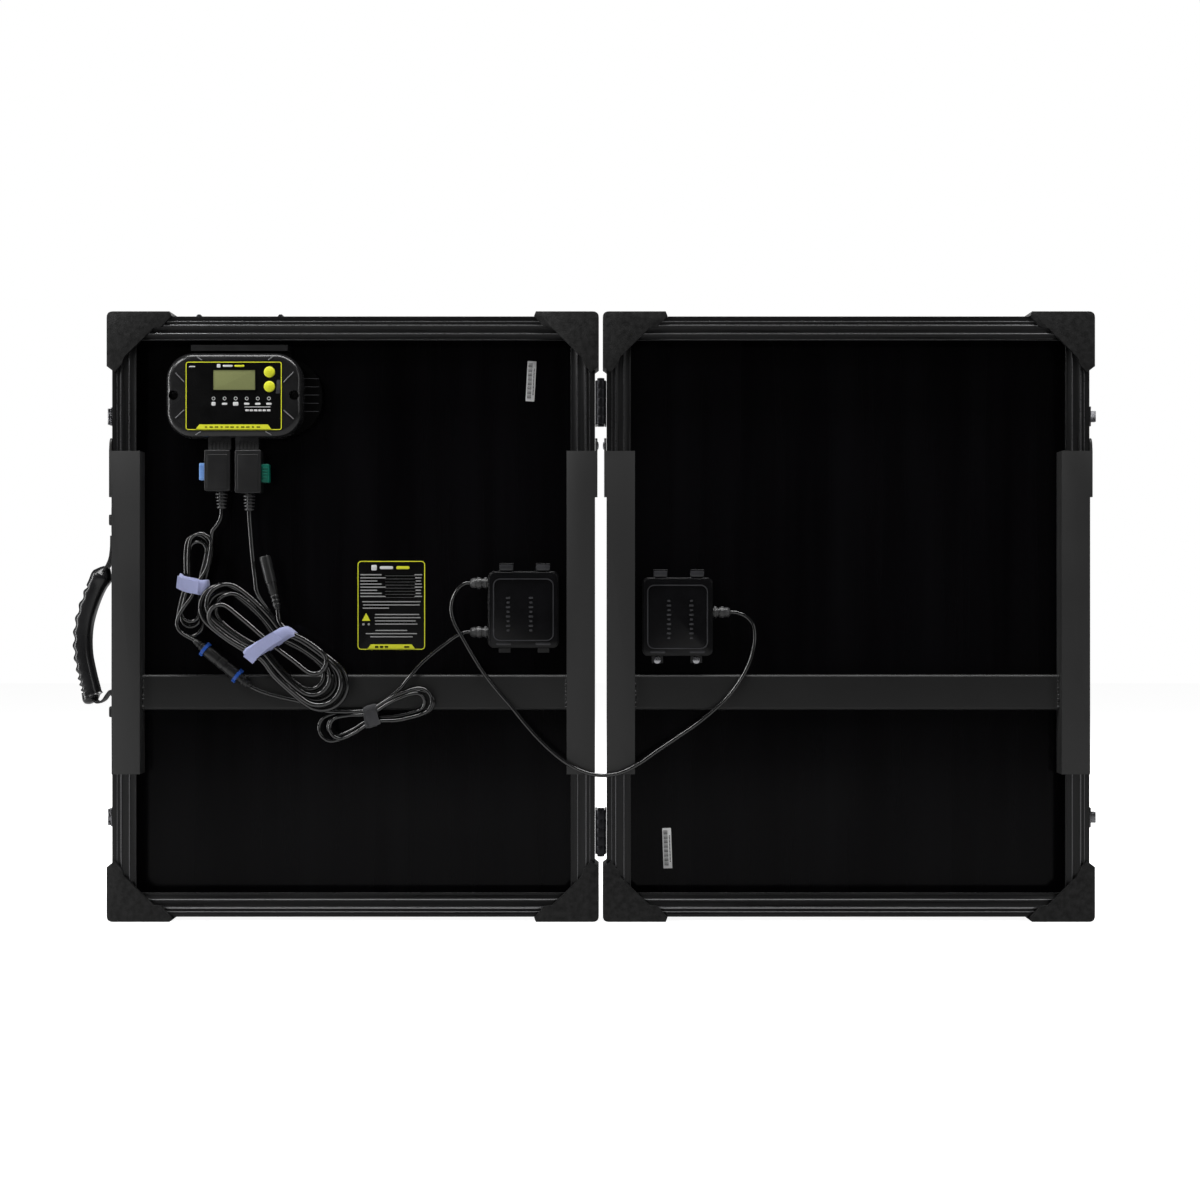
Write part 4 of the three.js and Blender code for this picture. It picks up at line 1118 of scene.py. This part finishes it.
# Each paragraph: the height of its first row, and its rows as (length, middle).
PARAGRAPHS = (
    (0.356, ((0.066, -0.2365), (0.064, -0.2365), (0.03, -0.254))),
    (0.3416, ((0.05, -0.23), (0.052, -0.2295), (0.046, -0.232), (0.048, -0.231))),
    (0.3236, ((0.036, -0.2365), (0.058, -0.2365), (0.048, -0.2365))),
)
for top, lines in PARAGRAPHS:
    rows += [((middle, top - 0.0036 * n), (length, 0.0012)) for n, (length, middle) in enumerate(lines)]
slabs("rating_text_rows", rows, 0.0004, RATING_PRINT, *LABEL_FACE, "fine", 0.00004)
trapezoid("rating_warning_mark", (-0.2697, -0.2603), (0.3345, 0.343), RATING_PRINT)
slabs(
    "rating_dots", [((-0.268, 0.3305), (0.003, 0.0026)), ((-0.262, 0.3305), (0.0026, 0.0026))],
    0.0012, RATING_PRINT, *LABEL_FACE, "fine", 0.00004, 4)


def bar_sticker(side, centre, tilt):
    """A white sticker with a column of plain bars."""
    cx, cz = centre
    y = BACKSHEET_Y
    riding = (f"{side}_panel", "laminate")
    paper = [(centre, (0.01, 0.0455))]
    slabs(f"{side}_bar_sticker", paper, 0.0008, (y, y - 0.0002), *riding, "white", 0.00004, 3, tilt)
    bars = []
    for k in range(33):
        bars.append(((cx - 0.0014, cz - 0.02 + 0.00125 * k), (0.0048, 0.00035 + 0.0003 * ((k * 7) % 4) / 2)))
    bars += [((cx + 0.003, cz - 0.015 + 0.0016 * k), (0.0013, 0.001)) for k in range(19)]
    slabs(f"{side}_bar_marks", bars, 0.0001, (y - 0.00018, y - 0.0003), *riding, "ink", 0.00002, 1, tilt)


bar_sticker("left", (-0.0788, 0.605), math.radians(3))
bar_sticker("right", (0.075, 0.0778), math.radians(-2))


# ---------------------------------------------------------------- carrying handle
HANDLE_Y = 0.02165
GRIP_ROUTE = [
    (-0.5605, 0.384), (-0.572, 0.36), (-0.5805, 0.33), (-0.5815, 0.3), (-0.577, 0.275), (-0.5735, 0.261),
]
STRAP_ROUTE = [
    (-0.5478, 0.43), (-0.5482, 0.415), (-0.5505, 0.402), *GRIP_ROUTE, (-0.57, 0.249), (-0.564, 0.243),
    (-0.558, 0.2455), (-0.5525, 0.253), (-0.549, 0.2565), (-0.5473, 0.2535), (-0.547, 0.2506),
]


def sweep(name, path, section, body, slot_name, material, angle=40):
    """A closed skin that follows a path in the handle's plane; section(share) gives (outwards, y) points."""
    rings = []
    for i, here in enumerate(path):
        along = (path[min(i + 1, len(path) - 1)] - path[max(i - 1, 0)]).normalized()
        out = Vector((0, 1, 0)).cross(along).normalized()
        rings.append([at(*(here + out * u)) + Vector((0, v, 0)) for u, v in section(i / (len(path) - 1))])
    return loft(name, rings, body, slot_name, material, angle)


def route_in_plane(route, per_span):
    return smooth([(x, HANDLE_Y, z) for x, z in route], per_span)


def grip_section(share):
    """An oval with ten finger ribs along its outer side; each end tapers into a sleeve round the strap."""
    taper = min(1.0, 0.28 + 0.72 * min(share / 0.1, (1 - share) / 0.1) ** 0.8)
    flare = 0.1 * (math.exp(-(((share - 0.13) / 0.03) ** 2)) + math.exp(-(((share - 0.87) / 0.03) ** 2)))
    swell = taper * (1 + flare)
    along_ribs = (share - 0.2) / 0.6
    ribbed = 0 < along_ribs < 1
    groove = 0.0028 * math.cos(along_ribs * 10 * math.pi) ** 2 if ribbed else 0.0
    points = []
    for k in range(28):
        a = 2 * math.pi * k / 28
        c, s = math.cos(a), math.sin(a)
        u = 0.0105 * math.copysign(abs(c) ** 0.8, c) * swell
        v = 0.0125 * math.copysign(abs(s) ** 0.8, s) * swell
        if c > 0.1:
            u -= groove * c
        points.append((u, v))
    return points


SLEEVE_ROUTE = [(-0.554, 0.395), *GRIP_ROUTE, (-0.57, 0.249), (-0.5665, 0.245)]
sleeve_path = route_in_plane(SLEEVE_ROUTE, 22)
grip = sweep("handle_grip_ribbed", sleeve_path, grip_section, "handle", "grip", "rubber", 60)
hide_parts("handle_grip")


def strap_section(share):
    half_w, half_t = 0.0098, 0.0008
    return [
        (-half_t, -half_w), (half_t, -half_w), (half_t * 1.3, -half_w * 0.5), (half_t * 1.3, half_w * 0.5),
        (half_t, half_w), (-half_t, half_w), (-half_t * 1.3, half_w * 0.5), (-half_t * 1.3, -half_w * 0.5),
    ]


strap = sweep("handle_strap_woven", route_in_plane(STRAP_ROUTE, 8), strap_section, None, "webbing", "webbing")
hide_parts("handle_strap")
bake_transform(strap)


# ---------------------------------------------------------------- light and floor
world = bpy.data.worlds.new("studio")
world.use_nodes = True
tree = world.node_tree
background = tree.nodes["Background"]
spread = add_node(tree, "MapRange", To_Min=0.07, To_Max=1.0)
tree.links.new(add_node(tree, "LightPath").outputs["Is Camera Ray"], spread.inputs["Value"])
tree.links.new(spread.outputs["Result"], background.inputs["Strength"])
background.inputs["Color"].default_value = (1, 1, 1, 1)
bpy.context.scene.world = world
bpy.context.scene.view_settings.view_transform = "Standard"

# The floor glows for camera rays only, so that it stays pale without lighting the case from below.
floor_mesh = bpy.data.meshes.new("floor")
REACH = 6
floor_corners = [(-REACH, -REACH, 0), (REACH, -REACH, 0), (REACH, REACH, 0), (-REACH, REACH, 0)]
floor_mesh.from_pydata(floor_corners, [], [(0, 1, 2, 3)])
floor = new_object("floor", floor_mesh)
pale = Nodes("pale_floor", grey(0.6), 0.9, 0.0, Specular_IOR_Level=0.0, Emission_Color=(1, 1, 1, 1))
pale.colors(pale.noise(3, 2), (0.3, grey(0.59)), (0.7, grey(0.61)))
glow = add_node(pale.tree, "Math")
glow.operation = "MULTIPLY"
glow.inputs[1].default_value = 0.92
pale.link(add_node(pale.tree, "LightPath").outputs["Is Camera Ray"], glow.inputs[0])
pale.link(glow.outputs["Value"], pale.shader.inputs["Emission Strength"])
floor_mesh.materials.append(pale.material)


def softbox(name, place, aim, size, power):
    light = bpy.data.lights.new(name, "AREA")
    light.shape = "RECTANGLE"
    light.size, light.size_y = size
    light.energy = power
    lamp = new_object(name, light)
    lamp.location = place
    lamp.rotation_mode = "QUATERNION"
    lamp.rotation_quaternion = (Vector(aim) - Vector(place)).to_track_quat("-Z", "Y")


softbox("key", (-1.7, -1.5, 2.0), (-0.1, 0, 0.35), (0.6, 0.6), 17)
softbox("fill", (2.0, -1.6, 1.3), (0.1, 0, 0.35), (0.4, 1.4), 6)
softbox("top_strip", (0, -0.45, 2.2), (0, 0, 0.5), (2.2, 0.3), 38)
softbox("left_strip", (-1.8, -0.35, 0.7), (-0.2, 0, 0.35), (0.2, 1.4), 13)
softbox("back", (0, 2.0, 2.2), (0, 0, 0.35), (2.4, 0.8), 60)
